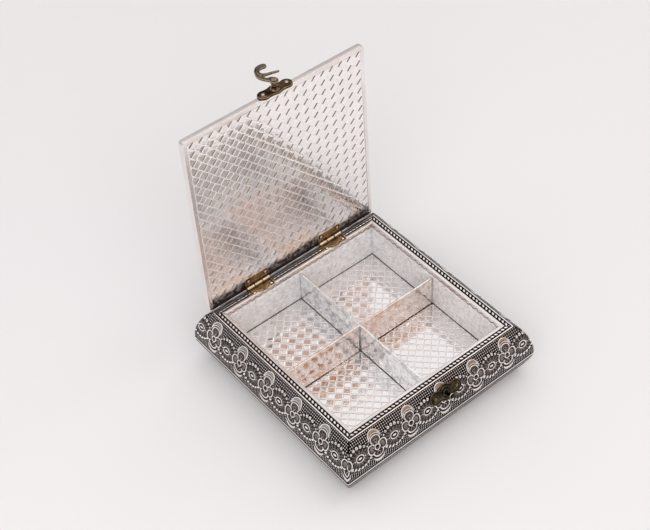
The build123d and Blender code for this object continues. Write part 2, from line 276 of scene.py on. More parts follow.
def rounded(t, r):
    """Drop of a rounded edge of radius r at distance t from the edge."""
    u = np.clip(1 - t / r, 0, 1)
    return r - r * np.sqrt(np.maximum(1 - u * u, 0))


# ============================================================================
# node materials
# ============================================================================
class Nodes:
    """A short way to write shader nodes."""

    def __init__(self, name):
        self.mat = bpy.data.materials.new(name)
        self.mat.use_nodes = True
        self.t = self.mat.node_tree
        self.t.nodes.clear()
        self.out = self.t.nodes.new("ShaderNodeOutputMaterial")
        self.bsdf = self.t.nodes.new("ShaderNodeBsdfPrincipled")
        self.t.links.new(self.bsdf.outputs[0], self.out.inputs[0])
        self.obj = self.t.nodes.new("ShaderNodeTexCoord").outputs["Object"]

    def put(self, socket, value):
        if hasattr(value, "links") or isinstance(value, bpy.types.NodeSocket):
            self.t.links.new(value, socket)
        elif isinstance(value, (tuple, list)):
            if socket.type == "RGBA" and len(value) == 3:
                value = (*value, 1.0)
            socket.default_value = value
        else:
            socket.default_value = value

    def set(self, **kw):
        for k, v in kw.items():
            self.put(self.bsdf.inputs[k.replace("_", " ")], v)
        return self

    def math(self, op, a, b=0.0, c=None, clamp=False):
        n = self.t.nodes.new("ShaderNodeMath")
        n.operation = op
        n.use_clamp = clamp
        self.put(n.inputs[0], a)
        self.put(n.inputs[1], b)
        if c is not None:
            self.put(n.inputs[2], c)
        return n.outputs[0]

    def attr(self, name):
        n = self.t.nodes.new("ShaderNodeAttribute")
        n.attribute_name = name
        return n.outputs["Fac"]

    def noise(self, scale, detail=3.0, rough=0.55, vec=None, dist=0.0):
        n = self.t.nodes.new("ShaderNodeTexNoise")
        n.inputs["Scale"].default_value = scale
        n.inputs["Detail"].default_value = detail
        n.inputs["Roughness"].default_value = rough
        n.inputs["Distortion"].default_value = dist
        self.put(n.inputs["Vector"], vec if vec is not None else self.obj)
        return n.outputs["Fac"]

    def voronoi(self, scale, feature="F1", vec=None):
        n = self.t.nodes.new("ShaderNodeTexVoronoi")
        n.feature = feature
        n.inputs["Scale"].default_value = scale
        self.put(n.inputs["Vector"], vec if vec is not None else self.obj)
        return n.outputs["Distance"]

    def mapping(self, scale=(1, 1, 1), rot=(0, 0, 0), vec=None):
        n = self.t.nodes.new("ShaderNodeMapping")
        n.inputs["Scale"].default_value = scale
        n.inputs["Rotation"].default_value = rot
        self.put(n.inputs["Vector"], vec if vec is not None else self.obj)
        return n.outputs[0]

    def ramp(self, fac, stops):
        n = self.t.nodes.new("ShaderNodeValToRGB")
        el = n.color_ramp.elements
        while len(el) < len(stops):
            el.new(0.5)
        for e, (p, c) in zip(el, stops):
            e.position = p
            e.color = (*c, 1) if len(c) == 3 else c
        self.put(n.inputs[0], fac)
        return n.outputs[0]

    def range(self, v, a, b, c, d):
        n = self.t.nodes.new("ShaderNodeMapRange")
        for i, x in enumerate((v, a, b, c, d)):
            self.put(n.inputs[i], x)
        return n.outputs[0]

    def mix(self, fac, a, b, mode="MIX"):
        n = self.t.nodes.new("ShaderNodeMix")
        n.data_type = "RGBA"
        n.blend_type = mode
        self.put(n.inputs["Factor"], fac)
        self.put(n.inputs[6], a)
        self.put(n.inputs[7], b)
        return n.outputs[2]

    def bump(self, height, distance=0.0001, strength=1.0, normal=None):
        n = self.t.nodes.new("ShaderNodeBump")
        n.inputs["Distance"].default_value = distance
        n.inputs["Strength"].default_value = strength
        self.put(n.inputs["Height"], height)
        if normal is not None:
            self.put(n.inputs["Normal"], normal)
        self.put(self.bsdf.inputs["Normal"], n.outputs[0])
        return n.outputs[0]


def mat_sheet():
    """Oxidised white metal: raised lines and the fine beads of the ground rubbed bright, the rest left dark."""
    m = Nodes("oxidised_sheet")
    fx, fy = (m.math("SUBTRACT", m.math("FRACT", m.math("DIVIDE", m.attr(k), NET)), 0.5) for k in ("pu", "pv"))
    d = m.math("SQRT", m.math("ADD", m.math("MULTIPLY", m.math("MULTIPLY", fx, fx), 1.55), m.math("MULTIPLY", fy, fy)))
    bead = m.math("MULTIPLY", m.range(d, 0.22, 0.37, 1.0, 0.0), m.attr("net"))
    relief = m.math("MAXIMUM", m.attr("relief"), m.math("MULTIPLY", bead, 0.88))
    smudge = m.noise(55.0, 4.0, 0.6)
    fine = m.noise(900.0, 2.0, 0.5)
    wear = m.math("ADD", relief, m.math("MULTIPLY", m.math("SUBTRACT", smudge, 0.5), 0.16))
    wear = m.math("ADD", wear, m.math("MULTIPLY", m.math("SUBTRACT", fine, 0.5), 0.14), clamp=True)
    col = m.ramp(wear, [(0.0, (0.006, 0.005, 0.0045)), (0.22, (0.026, 0.021, 0.018)), (0.5, (0.25, 0.216, 0.198)),
                        (0.76, (0.82, 0.778, 0.755)), (1.0, (0.985, 0.955, 0.94))])
    warm = m.noise(28.0, 3.0, 0.5)
    col = m.mix(m.math("MULTIPLY", m.ramp(warm, [(0.45, (0, 0, 0)), (0.72, (1, 1, 1))]), 0.22), col, (0.36, 0.27, 0.20), "MULTIPLY")
    m.set(Base_Color=col, Metallic=1.0, Roughness=m.range(wear, 0.0, 1.0, 0.50, 0.15))
    m.bump(m.math("ADD", bead, m.math("MULTIPLY", m.noise(1600.0, 2.0, 0.5), 0.25)), 0.00012, 0.8)
    return m.mat


def mat_foil(name, micro=0.0, tone=(0.975, 0.955, 0.952), rough=(0.07, 0.14), metal=1.0, speckle=0.0, seams=0.0, blotch=None):
    """Bright embossed foil; metal below 1 = foil under a thin matt lacquer; speckle = depth of the fine grain's tone;
    seams = strength of the pale, matt lines painted along the edges of the woven strips as highlights; blotch = colour
    of the patches of painted reflection."""
    m = Nodes(name)
    cell = m.attr("cell")
    haze = m.noise(38.0, 4.0, 0.6)
    spots = m.noise(420.0, 3.0, 0.6)
    dull = (tone[0] * 0.90, tone[1] * 0.89, tone[2] * 0.885)
    fac = m.math("ADD", m.math("MULTIPLY", cell, 0.35), m.math("MULTIPLY", haze, 0.5), clamp=True)
    col = m.mix(m.ramp(fac, [(0.2, (0, 0, 0)), (0.85, (1, 1, 1))]), tone, dull)
    if speckle > 0:
        grit = m.range(m.math("ADD", m.math("MULTIPLY", m.noise(1150.0, 3.0, 0.7), 0.6), m.math("MULTIPLY", m.noise(300.0, 3.0, 0.6), 0.4)), 0.46, 0.60, 0.0, 1.0)
        col = m.mix(m.math("MULTIPLY", grit, speckle), col, (0.30, 0.285, 0.28))
    # Patches of painted reflection, in the given tint, mixed into the foil's colour.
    if blotch:
        reflection_patch = m.range(m.math("ADD", m.math("MULTIPLY", m.noise(190.0, 2.0, 0.5), 0.7), m.math("MULTIPLY", m.noise(60.0, 2.0, 0.5), 0.3)), 0.50, 0.60, 0.0, 0.62)
        col = m.mix(reflection_patch, col, blotch)
    # slot paints the foil near black: painted shade in gaps, strip ends, open joints, board feet and skirts, and a
    # painted reflection at the lid's foot.
    slot = m.attr("slot")
    col = m.mix(slot, col, (0.030, 0.025, 0.023))
    r = m.range(m.math("ADD", m.math("MULTIPLY", haze, 0.6), m.math("MULTIPLY", spots, 0.4)), 0.25, 0.75, rough[0], rough[1])
    # Pale, matt lines along the strip edges: painted highlights where the steps would catch the light.
    if seams > 0:
        pale = m.math("MULTIPLY", m.math("MULTIPLY", m.attr("seam"), m.math("SUBTRACT", 1.0, slot)), seams)
        col = m.mix(pale, col, (0.975, 0.96, 0.955))
        r = m.math("ADD", r, m.math("MULTIPLY", pale, 0.30))
        metal = m.math("SUBTRACT", metal, m.math("MULTIPLY", pale, 0.65))
    m.set(Base_Color=col, Metallic=metal, Roughness=m.math("ADD", r, m.math("MULTIPLY", slot, 0.40)))
    if micro > 0:
        w = m.t.nodes.new("ShaderNodeTexWave")
        w.wave_type = "BANDS"
        w.bands_direction = "DIAGONAL"
        w.inputs["Scale"].default_value = 330.0
        w.inputs["Distortion"].default_value = 1.2
        w.inputs["Detail"].default_value = 2.0
        w.inputs["Detail Scale"].default_value = 1.0
        m.put(w.inputs["Vector"], m.obj)
        v = m.noise(700.0, 2.0, 0.6)
        h = m.math("ADD", m.math("MULTIPLY", w.outputs["Fac"], 0.6), m.math("MULTIPLY", v, 0.6))
        m.bump(h, 0.00012 * micro, 1.0)
    else:
        m.bump(m.noise(520.0, 3.0, 0.55), 0.00005, 1.0)
    return m.mat


def mat_bronze(name, hi, mid, lo, rough=(0.30, 0.52), edge_hi=0.5):
    """Antique brass or bronze: brighter where rubbed, darker in the hollows. The meshes' "rub" value
    goes up on rubbed high parts and down in pressed lines and corners; on the stud and on the box leaves' turned-up
    lips it also carries painted highlights, and beside each lip a painted shadow."""
    m = Nodes(name)
    geo = m.t.nodes.new("ShaderNodeNewGeometry")
    rub = m.range(geo.outputs["Pointiness"], 0.46, 0.56, 0.0, 1.0)
    patch = m.noise(210.0, 5.0, 0.68)
    grain = m.noise(1500.0, 2.0, 0.5)
    fac = m.math("ADD", m.math("MULTIPLY", m.math("SUBTRACT", patch, 0.5), 1.15), m.math("MULTIPLY", rub, edge_hi))
    fac = m.math("ADD", fac, m.math("ADD", m.math("MULTIPLY", m.attr("rub"), 0.45), 0.36))
    fac = m.math("ADD", fac, m.math("MULTIPLY", m.math("SUBTRACT", grain, 0.5), 0.18), clamp=True)
    col = m.ramp(fac, [(0.22, lo), (0.52, mid), (0.92, hi)])
    m.set(Base_Color=col, Metallic=1.0, Roughness=m.range(patch, 0.3, 0.7, rough[1], rough[0]))
    m.bump(m.math("ADD", m.math("MULTIPLY", patch, 0.6), m.math("MULTIPLY", grain, 0.2)), 0.00010, 0.7)
    return m.mat


def mat_wood():
    m = Nodes("wood_board")
    v = m.mapping(scale=(1.0, 1.0, 9.0))
    fib = m.noise(240.0, 6.0, 0.65, v)
    big = m.noise(30.0, 3.0, 0.5)
    col = m.mix(m.ramp(fib, [(0.3, (0, 0, 0)), (0.7, (1, 1, 1))]), (0.46, 0.34, 0.22), (0.30, 0.205, 0.125))
    col = m.mix(m.math("MULTIPLY", big, 0.35), col, (0.55, 0.43, 0.30))
    m.set(Base_Color=col, Roughness=m.range(fib, 0.3, 0.7, 0.72, 0.9))
    m.bump(fib, 0.0003, 0.6)
    return m.mat


def mat_felt():
    m = Nodes("felt")
    pile = m.noise(2600.0, 4.0, 0.7)
    big = m.noise(60.0, 3.0, 0.6)
    col = m.mix(m.ramp(pile, [(0.35, (0, 0, 0)), (0.7, (1, 1, 1))]), (0.030, 0.030, 0.034), (0.085, 0.085, 0.092))
    col = m.mix(m.math("MULTIPLY", big, 0.25), col, (0.12, 0.12, 0.125))
    m.set(Base_Color=col, Roughness=m.range(pile, 0.2, 0.8, 0.86, 0.98))
    m.bsdf.inputs["Sheen Weight"].default_value = 0.35
    m.bump(pile, 0.0004, 0.8)
    return m.mat


M_SHEET = mat_sheet()
M_FLOOR = mat_foil("silver_foil_weave", tone=(0.925, 0.900, 0.900), rough=(0.05, 0.10), seams=0.62)
M_LID = mat_foil("silver_foil_lid", tone=(0.995, 0.965, 0.955), rough=(0.05, 0.10), seams=0.56)
M_WALLFOIL = mat_foil("silver_foil_board", micro=0.5, tone=(1.0, 0.985, 0.985), rough=(0.16, 0.28), metal=0.16, speckle=0.52)
# The cross divider's warm tone and the copper and grey patches on both dividers are painted reflections.
M_DIVIDER_X = mat_foil("silver_foil_divider_cross", micro=0.16, tone=(0.970, 0.885, 0.835), rough=(0.05, 0.11), metal=0.84, speckle=0.20, blotch=(0.66, 0.47, 0.37))
M_DIVIDER_Y = mat_foil("silver_foil_divider_long", micro=0.16, tone=(1.0, 1.0, 1.0), rough=(0.05, 0.11), metal=0.74, speckle=0.22, blotch=(0.47, 0.49, 0.53))
M_BRASS = mat_bronze("hinge_brass", (0.84, 0.69, 0.51), (0.430, 0.315, 0.190), (0.060, 0.036, 0.016), rough=(0.16, 0.38), edge_hi=0.40)
M_NAIL = mat_bronze("nail_brass", (0.86, 0.72, 0.55), (0.44, 0.31, 0.18), (0.06, 0.036, 0.017), rough=(0.12, 0.30))
M_DARK = mat_bronze("dark_bronze", (0.42, 0.31, 0.19), (0.080, 0.046, 0.020), (0.012, 0.007, 0.004), rough=(0.10, 0.30))
M_STUD = mat_bronze("stud_bronze", (0.18, 0.148, 0.088), (0.044, 0.034, 0.018), (0.010, 0.008, 0.004), rough=(0.18, 0.40))
# The knob's pale top colour shows in its painted highlight bands.
M_KNOB = mat_bronze("stud_knob_bronze", (0.86, 0.80, 0.68), (0.060, 0.050, 0.032), (0.006, 0.005, 0.003), rough=(0.12, 0.26))
M_RIVET = mat_bronze("rivet_bronze", (0.66, 0.57, 0.45), (0.13, 0.092, 0.055), (0.022, 0.014, 0.008), rough=(0.10, 0.26))
M_HOOK = mat_bronze("hook_bronze", (0.40, 0.325, 0.235), (0.185, 0.140, 0.098), (0.035, 0.024, 0.017), rough=(0.22, 0.42))
M_WOOD = mat_wood()
M_FELT = mat_felt()


def dress(ob, mat, body, slot, *nodes):
    ob.data.materials.append(mat)
    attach(ob, body)
    if nodes:
        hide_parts(*nodes)
    return ob


# ============================================================================
# the embossed border: heights (mm) and brightness (0..1) of one repeat
# ============================================================================
def line_bump(d, hw):
    return np.sqrt(np.clip(1 - (d / hw) ** 2, 0, 1))


def soft(d, hw, s=0.16):
    return 1 - smoothstep(hw - s, hw + s, d)


class Relief:
    """Collects raised lines and domes over a grid of points."""

    def __init__(self, x, y):
        self.x, self.y = x, y
        self.h = np.zeros(x.shape)
        self.b = np.zeros(x.shape)
        self.base = np.full(x.shape, 0.06)  # brightness of the sunk ground between lines
        self.calm = np.zeros(x.shape)       # where the dotted ground is left out

    def add(self, d, hw, height, bright, halo=0.40):
        self.h = np.maximum(self.h, height * line_bump(d, hw))
        self.b = np.maximum(self.b, bright * soft(d, hw * 0.88, 0.13))
        self.calm = np.maximum(self.calm, soft(d, hw + halo, 0.2))

    def fill(self, sd, height, bright, edge=0.9, halo=0.40):
        """A raised area, sd < 0 inside."""
        t = np.clip(-sd / edge, 0, 1)
        self.h = np.maximum(self.h, height * np.sqrt(np.clip(1 - (1 - t) ** 2, 0, 1)))
        self.b = np.maximum(self.b, bright * smoothstep(-0.05, 0.22, -sd))
        self.calm = np.maximum(self.calm, smoothstep(-halo, halo * 0.2, -sd))

    def quiet(self, sd, base=0.06):
        k = smoothstep(-0.1, 0.3, -sd)
        self.calm = np.maximum(self.calm, k)
        self.base = self.base * (1 - k) + base * k

    def cut(self, sd):
        """A gap sunk through whatever is there."""
        k = smoothstep(-0.10, 0.12, -sd)
        self.h = self.h * (1 - k) - 0.10 * k
        self.b = self.b * (1 - k)
        self.base = self.base * (1 - k)
        self.calm = np.maximum(self.calm, k)

    def pit(self, d, r, depth):
        k = soft(d, r, 0.14)
        self.h -= depth * k
        self.b *= 1 - k


def mirror_x(pts):
    pts = np.array(pts, float)
    return np.concatenate([pts, pts[::-1] * [-1, 1]])


def flower(R, cx):
    x, y = R.x - cx, R.y
    # crescent at the top: rim line, smooth band with hairlines, then a deep gap
    a = np.hypot(x, y - 9.15) - 5.75
    b = 5.25 - np.hypot(x, y - 5.75)
    sd = np.maximum(np.maximum(a, b), 6.7 - y)
    R.fill(sd, 0.50, 0.66, edge=0.9)
    rr = np.hypot(x, y - 8.2)
    hair = soft(np.abs(((rr - 0.35) / 1.15) % 1.0 - 0.5) * 1.15, 0.16, 0.12) * smoothstep(0.7, 1.1, -sd)
    R.h -= 0.07 * hair
    R.b -= 0.36 * hair
    R.add(np.where((y > 6.4), np.abs(a + 0.42), 9.0), 0.42, 0.66, 1.0)
    R.add(np.where((y > 7.6) & (a < 0), np.abs(b + 0.30), 9.0), 0.26, 0.50, 0.92, halo=0.1)
    R.cut(np.maximum(np.maximum(np.abs(np.hypot(x, y - 5.75) - 4.78) - 0.44, 6.0 - y), a))
    # top petal: a mushroom in double outline
    top = mirror_x([(1.75, 2.55), (2.5, 3.6), (3.7, 4.7), (4.15, 6.3), (3.75, 8.0), (2.4, 9.35), (0.0, 9.85)])
    p = spline_through(top[:13], 5)
    d, t = dist_polyline(x, y, p)
    ins = np.where(inside_polygon(x, y, p), -d, d)
    R.cut(np.where((y > 2.2) & (y < 9.9), np.maximum(ins - 0.85, -ins - 0.2), 9.0))
    R.quiet(ins, 0.22)
    R.add(d, 0.50, 0.52, 0.98, halo=0.15)
    d2, _ = dist_polyline(x, y, spline_through(mirror_x([(1.1, 3.3), (1.7, 4.7), (2.55, 5.7), (2.6, 6.9), (1.7, 8.1), (0, 8.5)])[:11], 5))
    R.add(d2, 0.27, 0.28, 0.50, halo=0.1)
    for s in (1, -1):
        d, _ = dist_polyline(x * s, y, spline_through([(0.12, 3.0), (0.3, 4.4), (0.95, 5.5), (1.3, 6.5), (0.7, 7.1), (0.05, 6.7)], 6))
        R.add(d, 0.27, 0.32, 0.70, halo=0.1)
    # side petals: thick open loops with a curl inside
    petal = [(2.15, 2.05), (2.9, 3.15), (4.3, 3.95), (6.2, 4.05), (7.75, 3.1), (8.45, 1.2), (8.35, -0.9), (7.6, -2.7), (6.1, -3.75), (4.4, -3.6), (3.1, -2.7)]
    curl = [(3.15, 0.15), (3.7, 1.5), (4.9, 2.15), (6.0, 1.7), (6.4, 0.3), (6.0, -1.1), (5.0, -1.75), (4.2, -1.2), (4.3, -0.2), (4.9, 0.1)]
    for s in (1, -1):
        p = spline_through(petal, 6)
        d, t = dist_polyline(x * s, y, p)
        ins = np.where(inside_polygon(x * s, y, p), -d, d)
        R.cut(np.maximum(ins - 0.8, 2.4 - x * s))
        R.quiet(ins, 0.26)
        R.add(d, 0.36 + 0.18 * np.sin(math.pi * np.clip(t, 0, 1)) ** 0.6, 0.55, 1.0, halo=0.2)
        q = spline_through(curl, 6)
        dq, t = dist_polyline(x * s, y, q)
        R.fill(np.where(inside_polygon(x * s, y, q), -dq, dq), 0.14, 0.44, edge=1.2, halo=0.1)
        R.add(dq, 0.27, 0.30, 0.60 + 0.10 * np.cos(3 * t), halo=0.1)
    # bottom petal: a small bell
    bell = mirror_x([(1.6, -2.5), (2.2, -3.5), (3.0, -4.5), (3.2, -5.7), (2.4, -6.7), (0.0, -7.1)])
    p = spline_through(bell[:11], 5)
    d, t = dist_polyline(x, y, p)
    ins = np.where(inside_polygon(x, y, p), -d, d)
    R.cut(np.maximum(ins - 1.0, y + 2.2))
    R.quiet(ins, 0.13)
    R.add(d, 0.26, 0.30, 0.50, halo=0.1)
    for s in (1, -1):
        d, _ = dist_polyline(x * s, y, spline_through([(0.15, -2.9), (0.35, -3.9), (1.25, -4.6), (1.6, -5.5), (0.8, -6.0)], 6))
        R.add(d, 0.28, 0.32, 0.74, halo=0.1)
    # first bowl: a bright arc that thins out upwards
    ang = np.abs(np.arctan2(x, -(y + 3.7)))
    rad = np.hypot(x, y + 3.7)
    w = 0.66 * np.clip(1 - (ang / 1.95) ** 4, 0, 1) + 1e-3
    R.add(np.where(ang < 1.95, np.abs(rad - 4.45), 9.0), w, 0.60, 1.0, halo=0.2)
    # gap with small ticks, then the second bowl
    R.cut(np.maximum(np.maximum(np.abs(np.hypot(x, y + 4.9) - 5.0) - 0.62, y + 5.8), 4.45 + w - rad))
    tick = soft(np.abs(((ang * 5.2) / 1.05) % 1.0 - 0.5) * 1.05, 0.22, 0.12)
    gap = smoothstep(0.15, 0.35, rad - 5.0) * smoothstep(0.2, 0.0, np.hypot(x, y + 4.9) - 5.6) * (y < -5.8)
    R.b = np.maximum(R.b, 0.34 * tick * gap)
    a = np.hypot(x, y + 7.75) - 5.45
    b = 5.62 - np.hypot(x, y + 4.9)
    sd = np.maximum(np.maximum(a, b), y + 7.2)
    R.fill(sd, 0.58, 0.86, edge=1.2)
    R.add(np.where(y < -7.6, np.abs(b + 0.34), 9.0) + (a > 0) * 9, 0.34, 0.62, 1.0, halo=0.1)
    hair = soft(np.abs(np.hypot(x, y + 6.0) - 6.15), 0.16, 0.12) * smoothstep(0.3, 0.6, -sd)
    R.b -= 0.30 * hair
    R.h -= 0.06 * hair
    # centre
    r = np.hypot(x, y)
    R.cut(r - 2.95)
    R.add(np.abs(r - 2.25), 0.52, 0.58, 1.0, halo=0.1)
    R.add(np.where(y < 0.4, np.abs(r - 0.85), 9.0), 0.26, 0.40, 0.60, halo=0.05)


def eye(R, cx):
    x, y = R.x - cx, R.y
    ell = (np.hypot(x / 3.55, y / 2.85) - 1) * 3.1
    # shallow leaf behind, with faint ribs and a faint outline
    up = np.hypot(x, y + 6.73) - 14.1
    lo = np.hypot(x, y - 6.73) - 14.1
    leaf = np.maximum(up, lo)
    R.quiet(leaf, 0.24)
    ang = np.arctan2(y * 1.5, x)
    rib = smoothstep(0.25, 0.75, 0.5 + 0.5 * np.cos(ang * 17))
    band = smoothstep(0.3, 0.9, -leaf) * smoothstep(0.5, 1.1, ell)
    R.h = np.maximum(R.h, 0.16 * band * rib)
    R.b = np.maximum(R.b, 0.42 * band * rib)
    ring2 = np.abs((np.hypot(x / 5.2, y / 4.35) - 1) * 4.6)
    R.b = np.maximum(R.b, 0.58 * soft(ring2, 0.22) * (band > 0))
    R.h = np.maximum(R.h, 0.16 * line_bump(ring2, 0.34) * (band > 0))
    R.add(np.abs(leaf), 0.24, 0.24, 0.44, halo=0.1)
    R.cut(ell - 0.75)
    R.add(np.abs(ell), 0.54, 0.55, 1.0, halo=0.2)
    R.fill((np.hypot(x / 1.95, y / 0.95) - 1) * 1.2, 0.50, 1.0, edge=0.7, halo=0.1)
    for s in (1, -1):
        for bx, rx, ry, br in ((4.85, 0.95, 0.62, 0.95), (6.65, 0.75, 0.52, 0.85), (8.0, 0.5, 0.42, 0.7)):
            sd = (np.hypot((x - s * bx) / rx, y / ry) - 1) * ry * 1.2
            R.cut(sd - 0.35)
            R.fill(sd, 0.40, br, edge=0.5, halo=0.2)
    # row of buds above
    for bx, by, br in ((0.0, 9.0, 1.50), (3.15, 8.45, 1.42), (6.15, 7.1, 1.25), (8.55, 5.4, 0.95)):
        for s in ((1,) if bx == 0 else (1, -1)):
            r = np.hypot(x - s * bx, y - by)
            th = np.arctan2(y - by, x - s * bx)
            out = r - br * (0.90 + 0.10 * np.cos(th * 5 + 1.3))
            R.cut(out - 0.42)
            R.fill(out, 0.50, 0.96, edge=0.8, halo=0.2)
            if br > 1.2:
                R.pit(r, 0.34, 0.16)
    # chain of slanting beads below
    for bx, by in ((0.0, -8.75), (3.1, -8.25), (6.1, -6.85), (8.75, -4.9)):
        for s in ((1,) if bx == 0 else (1, -1)):
            dx, dy = x - s * bx, y - by
            t = 0.72
            ex = dx * math.cos(t) + dy * math.sin(t)
            ey = -dx * math.sin(t) + dy * math.cos(t)
            sd = (np.hypot(ex / 1.62, ey / 0.98) - 1) * 1.15
            R.cut(sd - 0.32)
            R.fill(sd, 0.50, 1.0, edge=0.8, halo=0.2)


def beads(x, y):
    """Height 0..1 of the fine beads of the ground."""
    r = np.hypot((x / NET) % 1.0 - 0.5, (y / NET) % 1.0 - 0.5)
    return 1 - smoothstep(0.16, 0.46, r)


TILE_STEP = 0.1
TX = np.arange(-PERIOD / 2, PERIOD / 2, PERIOD / 328)
TY = np.arange(-18.0, 18.0, TILE_STEP)
_x, _y = np.meshgrid(TX, TY)
TILE = Relief(_x, _y)
eye(TILE, PERIOD / 2)
eye(TILE, -PERIOD / 2)
flower(TILE, 0.0)
flower(TILE, PERIOD)
flower(TILE, -PERIOD)


def tile_lookup(arr, x, y):
    """Bilinear lookup, repeating in x."""
    fx = ((x + PERIOD / 2) / PERIOD) % 1.0 * len(TX)
    fy = np.clip((y - TY[0]) / TILE_STEP, 0, len(TY) - 1.001)
    i = np.floor(fx).astype(int) % len(TX)
    i2 = (i + 1) % len(TX)
    j = np.floor(fy).astype(int)
    tx, ty = fx - np.floor(fx), fy - j
    return ((arr[j, i] * (1 - tx) + arr[j, i2] * tx) * (1 - ty)
            + (arr[j + 1, i] * (1 - tx) + arr[j + 1, i2] * tx) * ty)


def border_pattern(u, y):
    """Height, brightness and share of beaded ground of the flower border; y is up, 0 on the flowers' middle line."""
    inside = (np.abs(y) < 17.8)
    h = tile_lookup(TILE.h, u, y) * inside
    b = tile_lookup(TILE.b, u, y) * inside
    c = tile_lookup(TILE.calm, u, y) * inside
    base = tile_lookup(TILE.base, u, y)
    h = h + (1 - c) * (0.20 * beads(u, y) - 0.09)
    b = np.clip(np.maximum(b, c * base), 0, 1)
    return h, b, 1 - c


# ---- cross-section of a side, from the inside of the wall over the rim -------
def natural_spline(pts, per=60):
    p = np.array(pts, float)
    s = np.concatenate([[0], np.cumsum(np.hypot(*np.diff(p, axis=0).T))])
    n = len(p)
    A = np.zeros((n, n))
    B = np.zeros((n, 2))
    A[0, 0] = A[-1, -1] = 1
    for i in range(1, n - 1):
        h0, h1 = s[i] - s[i - 1], s[i + 1] - s[i]
        A[i, i - 1:i + 2] = h0, 2 * (h0 + h1), h1
        B[i] = 6 * ((p[i + 1] - p[i]) / h1 - (p[i] - p[i - 1]) / h0)
    M = np.linalg.solve(A, B)
    out = []
    for i in range(n - 1):
        h = s[i + 1] - s[i]
        t = np.linspace(0, h, per, endpoint=False)[:, None]
        out.append(M[i] * (h - t) ** 3 / (6 * h) + M[i + 1] * t ** 3 / (6 * h)
                   + (p[i] / h - M[i] * h / 6) * (h - t) + (p[i + 1] / h - M[i + 1] * h / 6) * t)
    out.append(p[-1:])
    return np.concatenate(out)


def resample(p, step):
    s = np.concatenate([[0], np.cumsum(np.hypot(*np.diff(p, axis=0).T))])
    n = int(round(s[-1] / step))
    t = np.linspace(0, s[-1], n + 1)
    return np.stack([np.interp(t, s, p[:, 0]), np.interp(t, s, p[:, 1])], -1), t


outer = natural_spline(PROFILE)
dense = np.concatenate([[(75.75, 45.0), (75.2, 45.0), (75.2, 50.0)], outer, [(86.4, 0.75)]])
dense, sd_ = resample(dense, 0.05)
# round the bends slightly
ker = np.exp(-0.5 * (np.arange(-24, 25) * 0.05 / 0.28) ** 2)
ker /= ker.sum()
pad = np.concatenate([np.repeat(dense[:1], 24, 0), dense, np.repeat(dense[-1:], 24, 0)])
soft_path = np.stack([np.convolve(pad[:, k], ker, "valid") for k in (0, 1)], -1)
i_rim = int(np.argmin(np.hypot(dense[:, 0] - 82.5, dense[:, 1] - 50.0)))
V_AXIS = sd_ - sd_[i_rim]                 # 0 on the outer ridge, growing down the side
TAN = np.gradient(soft_path, axis=0)
TAN /= np.linalg.norm(TAN, axis=1)[:, None]
NRM = np.stack([-TAN[:, 1], TAN[:, 0]], -1)


def section(v):
    """(m, z, nm, nz) of the side's cross-section at arc position v."""
    return (np.interp(v, V_AXIS, soft_path[:, 0]), np.interp(v, V_AXIS, soft_path[:, 1]),
            np.interp(v, V_AXIS, NRM[:, 0]), np.interp(v, V_AXIS, NRM[:, 1]))


V_RIM_IN = -(82.5 - 75.2)                 # inner edge of the rim's flat top


